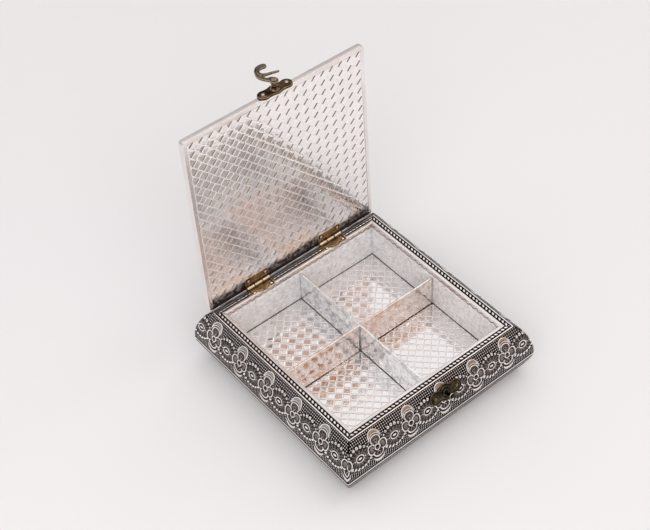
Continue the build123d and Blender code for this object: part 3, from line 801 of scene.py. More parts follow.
def side_relief(u, v, phase, worn=0.0):
    """Height, brightness and share of beaded ground over a whole side. u runs along the side, v down it.
    worn = how far the rope and the ridge are rubbed flat, and darkened as painted shade, at the foot of the open lid."""
    h, b, net = border_pattern(u - phase, FLOWER_V - v)
    # lower border: groove, plain raised band, groove, ground, small beads
    def band(c, w, height, bright):
        nonlocal h, b, net
        d = np.abs(v - c)
        k = 1 - smoothstep(w, w + 0.25, d)
        h = h * (1 - k) + height * line_bump(np.minimum(d, w + 0.2), w + 0.21) * k
        b = b * (1 - k) + bright * k
        net = net * (1 - k)
    band(31.75, 0.50, -0.05, 0.05)
    band(33.6, 0.70, 0.34, 0.86)
    band(35.5, 0.50, -0.05, 0.03)
    band(36.9, 0.50, 0.26, 0.66)
    band(46.6, 0.45, 0.28, 0.75)
    k = 1 - smoothstep(1.2, 1.4, np.abs(v - 49.2))
    r = np.hypot(((u / 2.6) % 1.0 - 0.5) * 2.6, v - 49.2)
    h = h * (1 - k) + k * 0.40 * line_bump(r, 1.1)
    b = b * (1 - k) + k * 0.85 * soft(r, 0.9)
    net = net * (1 - k)
    band(51.6, 0.45, 0.28, 0.75)
    k = smoothstep(52.2, 52.6, v)
    h = h * (1 - k)
    b = b * (1 - k) + 0.35 * k
    net = net * (1 - k)
    # rim: ridge, groove, rope, groove, plain band, inner strip with scrolls
    top = smoothstep(0.95, 0.65, v)
    hr = np.full_like(h, -0.12)
    br = np.full_like(b, 0.015)
    m = v + 82.5
    d = np.abs(v + 0.25)
    hr = np.maximum(hr, 0.36 * line_bump(d, 0.66) - 0.02)
    br = np.maximum(br, 1.0 * soft(d, 0.46))
    # rope of long strands at a small angle
    rope = np.abs(m - 79.75)
    for shift in (-3.6, 0.0, 3.6):
        e0 = ((u / 3.6) % 1.0 - 0.5) * 3.6 + shift
        e1 = e0 * 0.891 + (m - 79.75) * 0.454
        e2 = -e0 * 0.454 + (m - 79.75) * 0.891
        k = smoothstep(1.0, 0.70, np.hypot(e1 / 1.72, e2 / 0.86))
        hr = np.maximum(hr, 0.60 * k - 0.06)
        br = np.where(rope < 1.9, np.maximum(br, 1.0 * smoothstep(0.1, 0.5, k)), br)
    # rubbed flat, and darkened as painted shade at the foot of the open lid, with a few paler lines kept
    if worn:
        hr = hr * (1 - 0.75 * worn)
        br = np.maximum(br * (1 - 0.95 * worn), 0.88 * worn * soft(np.abs(m - 79.2), 0.42, 0.12))
        br = np.maximum(br, worn * 0.74 * soft(np.abs(m - 81.0), 0.50, 0.16))
        br = np.maximum(br, worn * 0.30 * smoothstep(80.6, 81.4, m))
    k = smoothstep(77.85, 77.65, m)
    hr = np.where(m < 77.9, 0.16 * k - 0.12 * (1 - k), hr)
    br = br * (1 - k) + 0.84 * k
    k = smoothstep(V_RIM_IN - 0.5, V_RIM_IN - 0.9, v)       # down the inside
    w = v - V_RIM_IN
    scroll = np.abs(w + 3.1 - 0.85 * np.sin(2 * math.pi * u / 6.4))
    curl = np.hypot(((u / 8.19 + 0.25) % 1.0 - 0.5) * 8.19, w + 2.55)
    curl2 = np.hypot(((u / 8.19 + 0.75) % 1.0 - 0.5) * 8.19, w + 2.85)
    lines = np.minimum(scroll - 0.5, np.minimum(curl, curl2) - 0.8)
    hi = np.maximum(0.34 * line_bump(scroll, 0.5), 0.30 * np.maximum(line_bump(curl, 0.8), line_bump(curl2, 0.8)))
    mark = value_noise(u / 9.0, 0 * u, 12.0)
    bi = 0.86 - (0.35 + 0.5 * mark) * soft(scroll, 0.34, 0.2)
    e = smoothstep(-4.2, -4.6, w)
    bi = bi * (1 - e) + 0.8 * e
    hi = hi * (1 - e) + 0.12 * e
    hr = hr * (1 - k) + hi * k
    br = br * (1 - k) + bi * k
    h = h * (1 - top) + hr * top
    b = b * (1 - top) + br * top
    net = net * (1 - top)
    return h, b, net


def make_side(name, turn, phase, step=0.30):
    v0, v1 = V_AXIS[0], V_AXIS[-1]
    v = np.linspace(v0, v1, int((v1 - v0) / step) + 1)
    m, z, nm, nz = section(v)
    nu = int(2 * 95.1 / step) | 1
    t = np.linspace(-1, 1, nu)
    T, V = np.meshgrid(t, v)
    Mg = m[:, None] + 0 * T
    U = T * Mg
    h, b, net = side_relief(U, V, phase, worn=1.0 if name == "rear" else 0.0)
    near = Mg - np.abs(U)                       # distance from the mitre, along the side
    fade = smoothstep(0.15, 1.3, near)
    h = h * fade + 0.10 * (1 - fade)
    wob = 0.10 * (value_noise(U / 17.0, V / 13.0, 3.0 + phase) - 0.5)
    h = h + wob * fade
    # ease the mitre's sharp corner
    c = 0.42 * (1 - smoothstep(0.0, 1.6, near)) ** 2
    h = h - c * (nm[:, None] > 0.05)
    out = Mg + h * nm[:, None]
    Z = z[:, None] + h * nz[:, None]
    Xs = T * out
    pts = np.stack([Xs, -out, Z], -1)
    a = math.radians(turn)
    ca, sa = math.cos(a), math.sin(a)
    P = pts.copy()
    P[..., 0] = pts[..., 0] * ca - pts[..., 1] * sa
    P[..., 1] = pts[..., 0] * sa + pts[..., 1] * ca
    f = grid_faces(len(v), nu)
    ob = mesh_object("sheet_" + name + "_embossed", P.reshape(-1, 3), f[:, ::-1],
                     {"relief": b, "net": net * fade, "pu": U - phase, "pv": FLOWER_V - V})
    return dress(ob, M_SHEET, "box", "oxidised_sheet", "sheet_" + name)


# along each side u runs left to right as seen from outside
make_side("front", 0, 1.5)
make_side("right", 90, -2.0)
make_side("rear", 180, 0.0)
make_side("left", 270, -4.4)


# ============================================================================
# basket weave foil
# ============================================================================
def weave_part(x0, x1, y0, y1, ax, ay, period, amp, seed, tilt=(0.0, 0.0), jit=0.018, slit=None):
    """Plain weave of flat strips at 45 degrees over a rectangle; strips along (1, 1) lie on top at (ax, ay).
    Each crossing is a nearly flat square. The strip on top ends at its sides in a steep step, and dips
    under its neighbours at its ends. tilt = slope of the crossings of the other strips, along x and y.
    slit = (depth, share(x, y)): an open gap along the upper left side of the strips along (1, 1), painted dark as
    shade."""
    w = period / math.sqrt(2)
    fr = np.array([-0.5, -0.48, -0.46, -0.435, -0.41, -0.38, -0.32, -0.18, 0.0, 0.18, 0.32, 0.38, 0.41, 0.435, 0.46, 0.48])
    cx, cy = (x0 + x1) / 2, (y0 + y1) / 2
    reach = math.hypot(x1 - x0, y1 - y0) / 2 + w
    # rotated frame about the lattice point nearest the middle
    k = round((cx - ax) / period)
    l = round((cy - ay) / period)
    ox, oy = ax + k * period, ay + l * period
    n = int(math.ceil(reach / w)) + 1
    cells = np.arange(-n, n + 1)
    line = (cells[:, None] + fr[None, :]).ravel()
    P, Q = np.meshgrid(line, line, indexing="ij")
    i, j = np.floor(P + 0.5), np.floor(Q + 0.5)
    fp, fq = P - i, Q - j
    over_a = ((i + j) % 2) == 0
    along = np.where(over_a, fp, fq)
    across = np.where(over_a, fq, fp)
    r2 = hash01(i, j, seed + 5) - 0.5
    r3 = hash01(i, j, seed + 9) - 0.5
    X = ox + (P + Q) * w / math.sqrt(2)
    Y = oy + (P - Q) * w / math.sqrt(2)
    al, ac = np.abs(along), np.abs(across)
    # on top: level to 0.43 of the way across, then a steep step down to the middle of the gap
    cross = np.where(over_a, 0.40, 1.0) if slit else 1.0
    side = -0.5 * amp * (1.4 - cross if slit else 1.0) * smoothstep(0.43, 0.50, ac)
    # towards its ends the strip sinks, then meets its neighbour's step
    dip = 0.45 if slit else 1.0
    end = cross * (-amp * (0.5 + 0.5 * dip) * smoothstep(0.38, 0.46, al) + 0.5 * amp * dip * smoothstep(0.46, 0.50, al))
    k = smoothstep(0.0, 0.06, al - ac)
    flat = 1 - smoothstep(0.36, 0.48, np.maximum(al, ac))
    h = side * (1 - k) + end * k
    dome = -0.010 * (along ** 2) * w - 0.006 * (across ** 2) * w
    lean = np.where(over_a, 0.0, 1.0)
    gx = lean * tilt[0] + jit * r2
    gy = lean * tilt[1] + jit * r3
    lx = (fp + fq) * w / math.sqrt(2)
    ly = (fp - fq) * w / math.sqrt(2)
    h = h + flat * (gx * lx + gy * ly) + dome * flat
    h = h + 0.08 * (value_noise(X / 31.0, Y / 37.0, seed) - 0.5) + 0.02 * (value_noise(X / 9.0, Y / 8.0, seed + 2) - 0.5)
    cell = hash01(i, j, seed + 3)
    # where the painted highlight lines run along the strip edges
    seam = smoothstep(0.405, 0.435, np.maximum(al, ac)) * (0.70 + 0.30 * hash01(i, j, seed + 17))
    # painted shade at the strip ends, where they dip under their neighbours
    slot = (0.38 if slit else 0.12) * smoothstep(0.42, 0.45, al) * smoothstep(0.49, 0.47, al) * smoothstep(0.44, 0.36, ac) * (al > ac)
    if slit:
        ends = 1 - smoothstep(0.41, 0.47, np.abs(fp))
        gap = np.where(over_a, 1 - smoothstep(0.095, 0.135, 0.5 + fq), 1 - smoothstep(0.035, 0.070, 0.5 - fq)) * ends
        pick = np.where(over_a, hash01(i, j, seed + 13), hash01(i, j + 1, seed + 13))
        share = slit[1](X, Y) * (0.72 + 0.38 * pick)
        h = h - slit[0] * gap * np.clip(share, 0.25, 1)
        # the open gaps are painted dark as shade
        slot = np.maximum(slot * (0.45 + 0.55 * hash01(i, j, seed + 21)), gap * np.clip(share, 0, 1))
        seam = seam * (1 - gap)
    keep = (X > x0 - 2 * w) & (X < x1 + 2 * w) & (Y > y0 - 2 * w) & (Y < y1 + 2 * w)
    f = grid_faces(len(line), len(line))
    kf = keep.ravel()[f].all(1)
    f = f[kf]
    used = np.unique(f)
    remap = -np.ones(P.size, int)
    remap[used] = np.arange(len(used))
    v = np.stack([X, Y, h], -1).reshape(-1, 3)[used]
    return v, [remap[f]], {"cell": cell.ravel()[used], "slot": slot.ravel()[used], "seam": seam.ravel()[used]}


def clip_rect(ob, x0, x1, y0, y1, skirt=None):
    """Cut a flat-lying mesh to a rectangle (mm) and drop its border down to z = skirt."""
    bm = bmesh.new()
    bm.from_mesh(ob.data)
    for co, no in (((x0, 0), (-1, 0)), ((x1, 0), (1, 0)), ((0, y0), (0, -1)), ((0, y1), (0, 1))):
        geom = bm.verts[:] + bm.edges[:] + bm.faces[:]
        bmesh.ops.bisect_plane(bm, geom=geom, plane_co=(co[0] * MM, co[1] * MM, 0), plane_no=(no[0], no[1], 0),
                               clear_outer=True, dist=1e-6)
    if skirt is not None:
        edges = [e for e in bm.edges if e.is_boundary]
        ret = bmesh.ops.extrude_edge_only(bm, edges=edges)
        # the skirt's new vertices are painted near black (slot = 1), as shade in the gap below the foil's edge
        lay = bm.verts.layers.float.get("slot")
        for g in ret["geom"]:
            if isinstance(g, bmesh.types.BMVert):
                g.co.z = skirt * MM
                if lay:
                    g[lay] = 1.0
    for f in bm.faces:
        f.smooth = True
    bm.to_mesh(ob.data)
    bm.free()
    ob.data.update()


def transform_mesh(ob, fn):
    n = len(ob.data.vertices)
    co = np.zeros(n * 3, np.float32)
    ob.data.vertices.foreach_get("co", co)
    v = fn(co.reshape(-1, 3).astype(float) / MM)
    ob.data.vertices.foreach_set("co", (v * MM).astype(np.float32).ravel())
    ob.data.update()


# floor of the four compartments
def merged(name, obs):
    """One object from several."""
    bm = bmesh.new()
    for o in obs:
        bm.from_mesh(o.data)
    me = bpy.data.meshes.new(name)
    bm.to_mesh(me)
    bm.free()
    for o in obs:
        old = o.data
        bpy.data.objects.remove(o)
        bpy.data.meshes.remove(old)
    ob = bpy.data.objects.new(name, me)
    scene.collection.objects.link(ob)
    return ob


beds = []
for bx0, bx1 in ((-74.15, -3.0), (0.0, 74.15)):
    for by0, by1 in ((-74.15, -1.0), (2.0, 74.15)):
        v, f, a = weave_part(bx0, bx1, by0, by1, -53.8, -7.8, 8.45, 0.17, 11.0, tilt=(0.045, 0.060), jit=0.013)
        v[:, 2] += 15.0
        bed = mesh_object("bed", v, f, a)
        clip_rect(bed, bx0, bx1, by0, by1, skirt=13.4)
        beds.append(bed)
floor = merged("lining_floor_weave", beds)
dress(floor, M_FLOOR, "box", "silver_foil", "lining_floor")

# inner face of the lid: local x, and y measured up the open lid
lx0, lx1 = -LID_HALF + 3.65, LID_HALF - 3.65
ly0, ly1 = -(LID_Y1 - 3.65), -(LID_Y0 + 3.65)      # y up = -y closed
def lid_share(x, y):
    """The weave is pressed deepest, and its slits are painted darkest as shade, towards the upper right of the open
    lid.
    """
    return 0.58 + 0.54 * smoothstep(-26.0, 14.0, y + 0.45 * x)


v, f, a = weave_part(lx0, lx1, ly0, ly1, 2.3, 70.6, 8.53, 0.13, 23.0, tilt=(0.010, 0.010), jit=0.013, slit=(0.60, lid_share))
# the foot of the panel is a little crumpled, and its lowest 6 to 10 mm carry a dark, broken band: a painted reflection
# of the dark rim below
near = np.array(v)[:, 1] - ly0
rim_reflection = smoothstep(10.5, 6.0, near + 3.2 * value_noise(v[:, 0] / 3.3, 0 * near, 53.0))
rim_reflection = rim_reflection * (0.62 + 0.34 * smoothstep(0.25, 0.70, value_noise(v[:, 0] / 1.5, v[:, 1] / 1.6, 51.0)))
v[:, 2] += 0.18 * smoothstep(9.0, 3.0, near) * (value_noise(v[:, 0] / 2.1, v[:, 1] / 1.8, 52.0) - 0.5)
a["slot"] = np.maximum(a["slot"], rim_reflection)
a["seam"] = a["seam"] * (1 - 0.8 * rim_reflection)
lid_weave = mesh_object("lid_lining_weave", v, f, a)
clip_rect(lid_weave, lx0, lx1, ly0, ly1, skirt=-0.45)


def lid_face(p):
    q = np.stack([p[:, 0], -p[:, 1], LID_Z0 - p[:, 2] + 0.05], -1)
    return opened(q)


transform_mesh(lid_weave, lid_face)
dress(lid_weave, M_LID, "lid", "silver_foil", "lid_lining")


# ============================================================================
# foil-faced boards: walls and dividers
# ============================================================================
def board_part(L, H, T, nl, nh, wave, seed, hatch=0.0, foot=0.0, joints=(), touch=None, ripple=0.0):
    """Upright board, length along x (centred), height z from 0, thickness along y, faces gently uneven,
    top edge rounded. hatch = height of a fine woven grain; foot = height of a near-black band at the bottom, painted
    shade where the board meets the floor, with the foil's ragged edge at its top; joints = (x0, x1, depth of tone) open
    joints, sunk and painted dark as shade, from top to bottom, darker lower down in the dividers' middle joints; touch
    = (x0, x1) where the foil reaches down to the floor, so the painted band at the foot is left out; ripple = share of
    small dents."""
    xs = np.linspace(-L / 2, L / 2, nl)
    for j0, j1, tone in joints:
        xs = np.concatenate([xs, [j0 - 0.08, j0 + 0.02, (j0 + j1) / 2, j1 - 0.02, j1 + 0.08]])
    xs = np.unique(np.round(xs[(xs >= -L / 2) & (xs <= L / 2)], 4))
    r = min(T * 0.45, 0.7)
    zs = np.concatenate([[0.0, foot - 0.04, foot + 0.04], np.linspace(foot + 0.3, H - r, nh)])
    ring = [(-T / 2, z) for z in zs]
    for k in range(1, 7):
        t = k / 7 * math.pi / 2
        ring.append((-T / 2 + r - r * math.cos(t), H - r + r * math.sin(t)))
    ring.append((-T / 2 + r, H))
    ring += [(-y, z) for y, z in ring[::-1]]
    ring = np.array(ring)
    if abs(ring[len(ring) // 2 - 1, 0] - ring[len(ring) // 2, 0]) < 1e-6:
        ring = np.delete(ring, len(ring) // 2, 0)
    X, K = np.meshgrid(xs, np.arange(len(ring)), indexing="ij")
    Yr, Zr = ring[K, 0], ring[K, 1]
    sgn = np.sign(Yr)
    dy = wave * (value_noise(X / 23.0 + 7 * sgn, Zr / 14.0, seed) - 0.5) + wave * 0.45 * (value_noise(X / 7.0 - 3 * sgn, Zr / 6.0, seed + 1) - 0.5)
    dy = dy + ripple * wave * 0.30 * (value_noise(X / 3.6 + 5 * sgn, Zr / 3.6, seed + 3) - 0.5)
    grain = np.sin(2 * math.pi * (X + Zr) / 2.1) * np.sin(2 * math.pi * (X - Zr) / 1.7)
    dy = dy - hatch * sgn * grain * smoothstep(foot + 0.2, foot + 1.0, Zr) * smoothstep(H - 0.9, H - 1.6, Zr)
    dy = dy * smoothstep(-0.1, 1.2, Zr)
    dz = 0.12 * (value_noise(X / 19.0, 0 * X, seed + 2) - 0.5) * (Zr > H - 1.5)
    ragged = 0.10 * (value_noise(X / 4.0, 0 * X, seed + 6) - 0.5)
    dz = dz + ragged * (np.abs(Zr - foot) < 0.1)
    # near black at the foot and in the open joints: painted shade where the board meets the floor and inside the joints
    joint_shade = 1.0 * (Zr < foot)
    if touch:
        joint_shade = joint_shade * (1 - smoothstep(touch[0] - 5.0, touch[0] + 6.0, X) * (X < touch[1]))
    for j0, j1, tone in joints:
        k = smoothstep(j0 - 0.07, j0, X) * smoothstep(j1 + 0.07, j1, X) * (Zr < H - 1.2)
        if ripple > 0 and abs(j0) < L / 3:
            k = k * (0.40 + 0.60 * smoothstep(17.0, 10.0, Zr))
        joint_shade = np.maximum(joint_shade, tone * k)
        dy = dy - 0.30 * sgn * k * tone * (np.abs(Yr) > T * 0.4)
    v = np.stack([X, Yr + dy, Zr + dz], -1).reshape(-1, 3)
    f = grid_faces(len(xs), len(ring))
    n = len(ring)
    ends = []
    half = n // 2
    for base, flip in ((0, False), ((len(xs) - 1) * n, True)):
        a = np.arange(0, half - 1)
        q = np.stack([base + a, base + a + 1, base + n - 2 - a, base + n - 1 - a], -1)
        ends.append(q[:, ::-1] if flip else q)
    bottom = np.stack([np.arange(len(xs) - 1) * n, np.arange(1, len(xs)) * n,
                       np.arange(1, len(xs)) * n + n - 1, np.arange(len(xs) - 1) * n + n - 1], -1)
    return v, [f, *ends, bottom[:, ::-1]], {"cell": np.full(len(v), 0.5), "slot": joint_shade.ravel()}


def upright(part, cx, cy, z, turn):
    v, f, a = part
    t = math.radians(turn)
    x = v[:, 0] * math.cos(t) - v[:, 1] * math.sin(t) + cx
    y = v[:, 0] * math.sin(t) + v[:, 1] * math.cos(t) + cy
    return np.stack([x, y, v[:, 2] + z], -1), f, a


for side, turn, L in (("front", 0, 149.2), ("right", 90, 151.6), ("rear", 180, 149.2), ("left", 270, 151.6)):
    p = board_part(L, 31.9, 1.15, 340, 72, 0.22, {"front": 1, "right": 2, "rear": 3, "left": 4}[side] * 3.0, hatch=0.045, foot=2.25,
                   joints=((-L / 2 + 0.65, -L / 2 + 0.95, 0.5), (-L / 2 + 2.3, -L / 2 + 2.6, 0.35), (L / 2 - 0.95, L / 2 - 0.65, 0.5), (L / 2 - 2.6, L / 2 - 2.3, 0.35)))
    d = 75.2
    a = math.radians(turn)
    p = upright(p, d * math.sin(a), -d * math.cos(a), 13.05, turn)
    ob = mesh_object("lining_" + side + "_foil", *p)
    dress(ob, M_WALLFOIL, "box", "silver_foil", "lining_" + side)


def divider(name, node, turn, cx, cy, seed, at, mat, touch=None):
    """Board slotted into the other one at `at` along its length."""
    p = board_part(148.8, 29.8, 1.9, 300, 56, 0.34, seed, foot=0.55, touch=touch, ripple=1.5,
                   joints=((-74.2, -73.75, 1.0), (at - 1.75, at - 1.02, 1.0), (at + 1.02, at + 1.75, 1.0), (73.75, 74.2, 1.0)))
    ob = mesh_object(name, *upright(p, cx, cy, 15.0, turn))
    return dress(ob, mat, "box", "silver_foil", node)


divider("divider_cross_foil", "divider_cross", 0, 0.0, 0.5, 31.0, -1.5, M_DIVIDER_X, touch=(-36.0, 0.0))
divider("divider_long_foil", "divider_long", 90, -1.5, 0.0, 37.0, 0.5, M_DIVIDER_Y)


# ============================================================================
# lid: sheet over the outer face and edges
# ============================================================================
def lid_outer():
    hx, hy = LID_HALF, (LID_Y1 - LID_Y0) / 2
    cy = (LID_Y0 + LID_Y1) / 2
    R = 3.0
    # section of the border ring: (inset from the outer boundary, z), from the outer face over the edge to the hem
    ring = [(6.0, LID_Z1), (5.2, LID_Z1), (4.4, LID_Z1), (3.6, LID_Z1), (2.9, LID_Z1), (2.3, LID_Z1), (1.8, LID_Z1)]
    for k in range(1, 8):
        t = k / 7 * math.pi / 2
        ring.append((1.8 - 1.8 * math.sin(t), LID_Z1 - 1.8 + 1.8 * math.cos(t)))
    for z in (56.6, 56.0, 55.4, 54.8, 54.2, 53.8):
        ring.append((0.0, z))
    for k in range(1, 6):
        t = k / 5 * math.pi / 2
        ring.append((0.6 - 0.6 * math.cos(t), 53.6 - 0.6 * math.sin(t)))
    for i in (1.2, 1.8, 2.4, 3.0, 3.45):
        ring.append((i, LID_Z0))
    ring.append((3.6, LID_Z0 + 0.12))
    ring.append((3.62, LID_Z0 + 0.4))
    ring = np.array(ring)
    step = 0.6
    per = []                                   # perimeter: base point, outward normal, distance along it
    s = 0.0
    for k, (sx, sy) in enumerate(((1, -1), (1, 1), (-1, 1), (-1, -1))):
        c = np.array([sx * (hx - R), sy * (hy - R)])
        a0 = -math.pi / 2 + k * math.pi / 2
        for q in range(8):
            a = a0 + q / 8 * math.pi / 2
            n = np.array([math.cos(a), math.sin(a)])
            per.append((c, n, s + q / 8 * R * math.pi / 2))
        s += R * math.pi / 2
        a = a0 + math.pi / 2
        n = np.array([math.cos(a), math.sin(a)])
        nx = ((1, 1), (-1, 1), (-1, -1), (1, -1))[k]
        c2 = np.array([nx[0] * (hx - R), nx[1] * (hy - R)])
        L = np.linalg.norm(c2 - c)
        m = int(L / step)
        for q in range(m):
            per.append((c + (c2 - c) * q / m, n, s + L * q / m))
        s += L
    base = np.array([p[0] for p in per])
    nor = np.array([p[1] for p in per])
    dist = np.array([p[2] for p in per])
    # profile normals
    tg = np.gradient(ring, axis=0)
    tg /= np.maximum(np.linalg.norm(tg, axis=1), 1e-9)[:, None]
    pn_out, pn_z = tg[:, 1] * -1.0, tg[:, 0] * -1.0     # outward = +, for a section drawn from inside to the edge
    ins, zz = ring[:, 0][:, None], ring[:, 1][:, None]
    rad = R - ins
    corner = np.maximum(rad, 0.0)
    # inside the corner radius the ring closes to mitres
    off = np.where(rad >= 0, rad, rad)
    X = base[None, :, 0] + nor[None, :, 0] * off
    Y = base[None, :, 1] + nor[None, :, 1] * off
    # for insets beyond the radius, arcs would cross over: clamp to the mitred rectangle
    lim_x, lim_y = hx - ins, hy - ins
    X = np.clip(X, -lim_x, lim_x)
    Y = np.clip(Y, -lim_y, lim_y)
    Z = np.repeat(zz, len(per), 1)
    D = np.repeat(dist[None, :], len(ring), 0)
    # soft twist on the lid's edge, a thin raised line on the face and the hem
    seam = 0.05 * (value_noise(D / 6.0, zz + 0 * D, 4.0) - 0.5)
    edge_m = smoothstep(54.0, 54.7, Z) * smoothstep(57.4, 56.8, Z) * (ins < 0.2)
    h = seam + 0.10 * edge_m
    b = 0.72 + 0 * Z
    face = (ins >= 1.7) & (zz > 57)
    ropec = np.abs(ins - 3.6)
    tw = 0.5 + 0.5 * np.cos(2 * math.pi * (D + 0.9 * ins) / 2.9)
    rope = np.where(face, line_bump(ropec, 1.0), 0)
    h = h + 0.42 * rope * (0.4 + 0.6 * tw)
    b = np.where(face, 0.10 + 0.88 * tw * (ropec < 0.95), b)
    b = np.where(face & (ins < 2.4), 0.9, b)
    b = np.where((zz < 53.3), 0.92, b)
    b = np.where((zz <= 57.3) & (ins < 1.7) & (zz >= 53.3), 0.82, b)
    rear_hem = (zz < 54.3) * (nor[None, :, 1] > 0.99) * (ins + 0 * Z >= 0)
    b = np.where(rear_hem > 0, 0.05, b)
    X = X + nor[None, :, 0] * h * pn_out[:, None]
    Y = Y + nor[None, :, 1] * h * pn_out[:, None]
    Z = Z + h * pn_z[:, None] * np.where(zz > 57, 1, 1)
    ringv = np.stack([X, Y + cy, Z], -1).reshape(-1, 3)
    parts = [(ringv, [grid_faces(len(ring), len(per), wrap_m=True)], {"relief": b, "net": 1.0 * rear_hem, "pu": D, "pv": ins + 0 * b})]
    # outer face: embossed field
    gx, gy = hx - 5.9, hy - 5.9
    st = 0.36
    xs = np.linspace(-gx, gx, int(2 * gx / st) + 1)
    ys = np.linspace(-gy, gy, int(2 * gy / st) + 1)
    X, Y = np.meshgrid(xs, ys)
    # border of flowers, mitred at the corners
    ix, iy = gx - np.abs(X), gy - np.abs(Y)
    top_side = iy < ix
    inset = np.minimum(ix, iy)
    u = np.where(top_side, X * np.sign(Y), -Y * np.sign(X))
    hb, bb, nb_ = border_pattern(u, 16.2 - inset)
    # middle field: large rosette on a weave of small lozenges
    r = np.hypot(X, Y)
    th = np.arctan2(Y, X)
    F = Relief(X, Y)
    for n, r0, r1, k in ((8, 8.0, 24.0, 0.0), (16, 23.0, 36.0, math.pi / 16)):
        a = (th + k) / (2 * math.pi) * n
        fa = (a - np.floor(a) - 0.5) * 2
        t = np.clip((r - r0) / (r1 - r0), 0, 1)
        half = np.sin(math.pi * np.clip(t, 0, 1) ** 0.8) * 0.80 * (0.65 + 0.35 * t)
        wdt = 2 * math.pi * np.maximum(r, 0.1) / n / 2
        d = (np.abs(fa) - half) * wdt
        ok = (r > r0) & (r < r1)
        F.quiet(np.where(ok, d, 9))
        F.add(np.where(ok, np.abs(d), 9), 0.5, 0.5, 1.0)
        d2 = (np.abs(fa) - half * 0.55) * wdt
        F.add(np.where(ok & (t > 0.15) & (t < 0.85), np.abs(d2), 9), 0.28, 0.3, 0.6, halo=0.1)
        F.add(np.where(ok & (t > 0.2) & (t < 0.7), np.abs(fa) * wdt, 9), 0.30, 0.35, 0.8, halo=0.1)
    for rr, hw, hgt in ((7.2, 0.6, 0.55), (37.6, 0.55, 0.5), (41.6, 0.55, 0.5)):
        F.add(np.abs(r - rr), hw, hgt, 1.0)
    nb = 60
    a = th / (2 * math.pi) * nb
    bd = np.hypot((a - np.floor(a) - 0.5) * 2 * math.pi * 39.6 / nb, r - 39.6)
    F.fill(bd - 1.15, 0.45, 1.0, edge=0.9)
    F.fill(r - 3.4, 0.55, 1.0, edge=2.2)
    F.pit(np.abs(r - 2.2), 0.2, 0.1)
    for sx in (-1, 1):
        for sy in (-1, 1):
            rc = np.hypot(X - sx * 36.5, Y - sy * 36.5)
            tc = np.arctan2(Y - sy * 36.5, X - sx * 36.5)
            F.fill(rc - 5.4 * (0.78 + 0.22 * np.cos(8 * tc)), 0.45, 0.95, edge=1.0)
            F.add(np.abs(rc - 7.4), 0.4, 0.4, 0.9)
            F.pit(rc, 1.0, 0.12)
    p = 4.1
    lz = np.maximum((0.5 + 0.5 * np.cos(2 * math.pi * (X + Y) / p)) ** 2, (0.5 + 0.5 * np.cos(2 * math.pi * (X - Y) / p)) ** 2)
    hm = F.h + (1 - F.calm) * 0.20 * lz
    bm_ = np.clip(F.b + (1 - F.calm) * 0.62 * lz + F.calm * 0.1, 0, 1)
    edge = 33.2
    k = smoothstep(edge - 0.1, edge + 0.1, inset)
    H = hb * (1 - k) + hm * k
    B = bb * (1 - k) + bm_ * k
    for c in (31.2, 34.4):
        d = np.abs(inset - c)
        H = np.maximum(H, 0.42 * line_bump(d, 0.7))
        B = np.where(d < 1.3, 0.08 + 0.9 * soft(d, 0.6), B)
    d = np.abs(inset - 32.8)
    tw = 0.5 + 0.5 * np.cos(2 * math.pi * (u + 0.9 * inset) / 2.9)
    H = np.where(d < 0.9, 0.45 * line_bump(d, 0.9) * (0.4 + 0.6 * tw), H)
    B = np.where(d < 0.9, (0.1 + 0.85 * tw), B)
    fade = smoothstep(0.0, 0.8, inset)
    H = H * fade
    fv = np.stack([X, Y + cy, LID_Z1 - 0.28 + H * 0.62 + 0.28 * (1 - fade)], -1).reshape(-1, 3)
    nb_ = nb_ * (1 - smoothstep(29.4, 29.8, inset))
    parts.append((fv, [grid_faces(len(ys), len(xs))], {"relief": B, "net": nb_ * fade, "pu": u, "pv": 16.2 - inset}))
    v, f, a = join_arrays(parts)
    ob = mesh_object("lid_sheet_embossed", opened(v), f, a)
    return dress(ob, M_SHEET, "lid", "oxidised_sheet", "lid_sheet")


lid_outer()


# ============================================================================
# hinges
# ============================================================================
def barrel(x0, x1, r=1.4, bore=0.76):
    """Rolled knuckle from x0 to x1 about the pin, with a small seam groove."""
    n = 40
    rim = 0.22
    prof = [(bore, 0), (r - rim, 0), (r - 0.06, 0.07), (r, rim), (r, 0.42), (r, (x1 - x0) / 2), (r, x1 - x0 - 0.42), (r, x1 - x0 - rim), (r - 0.06, x1 - x0 - 0.07),
            (r - rim, x1 - x0), (bore, x1 - x0), (bore, x1 - x0 - 0.6)]
    v, f, a = lathe(prof, n)
    ang = np.arctan2(v[:, 1], v[:, 0])
    rad = np.hypot(v[:, 0], v[:, 1])
    g = 1 - 0.05 * np.exp(-((ang - 2.2) / 0.10) ** 2) * (rad > r - 0.3)
    v = v * np.stack([g, g, np.ones(len(g))], -1)
    out = np.stack([v[:, 2] + x0, PIN_Y + v[:, 0], PIN_Z + v[:, 1]], -1)
    end = np.minimum(out[:, 0] - x0, x1 - out[:, 0])
    return out, [f[0][:, ::-1]], {"rub": np.where(end < 0.3, 0.0, 1.1)}


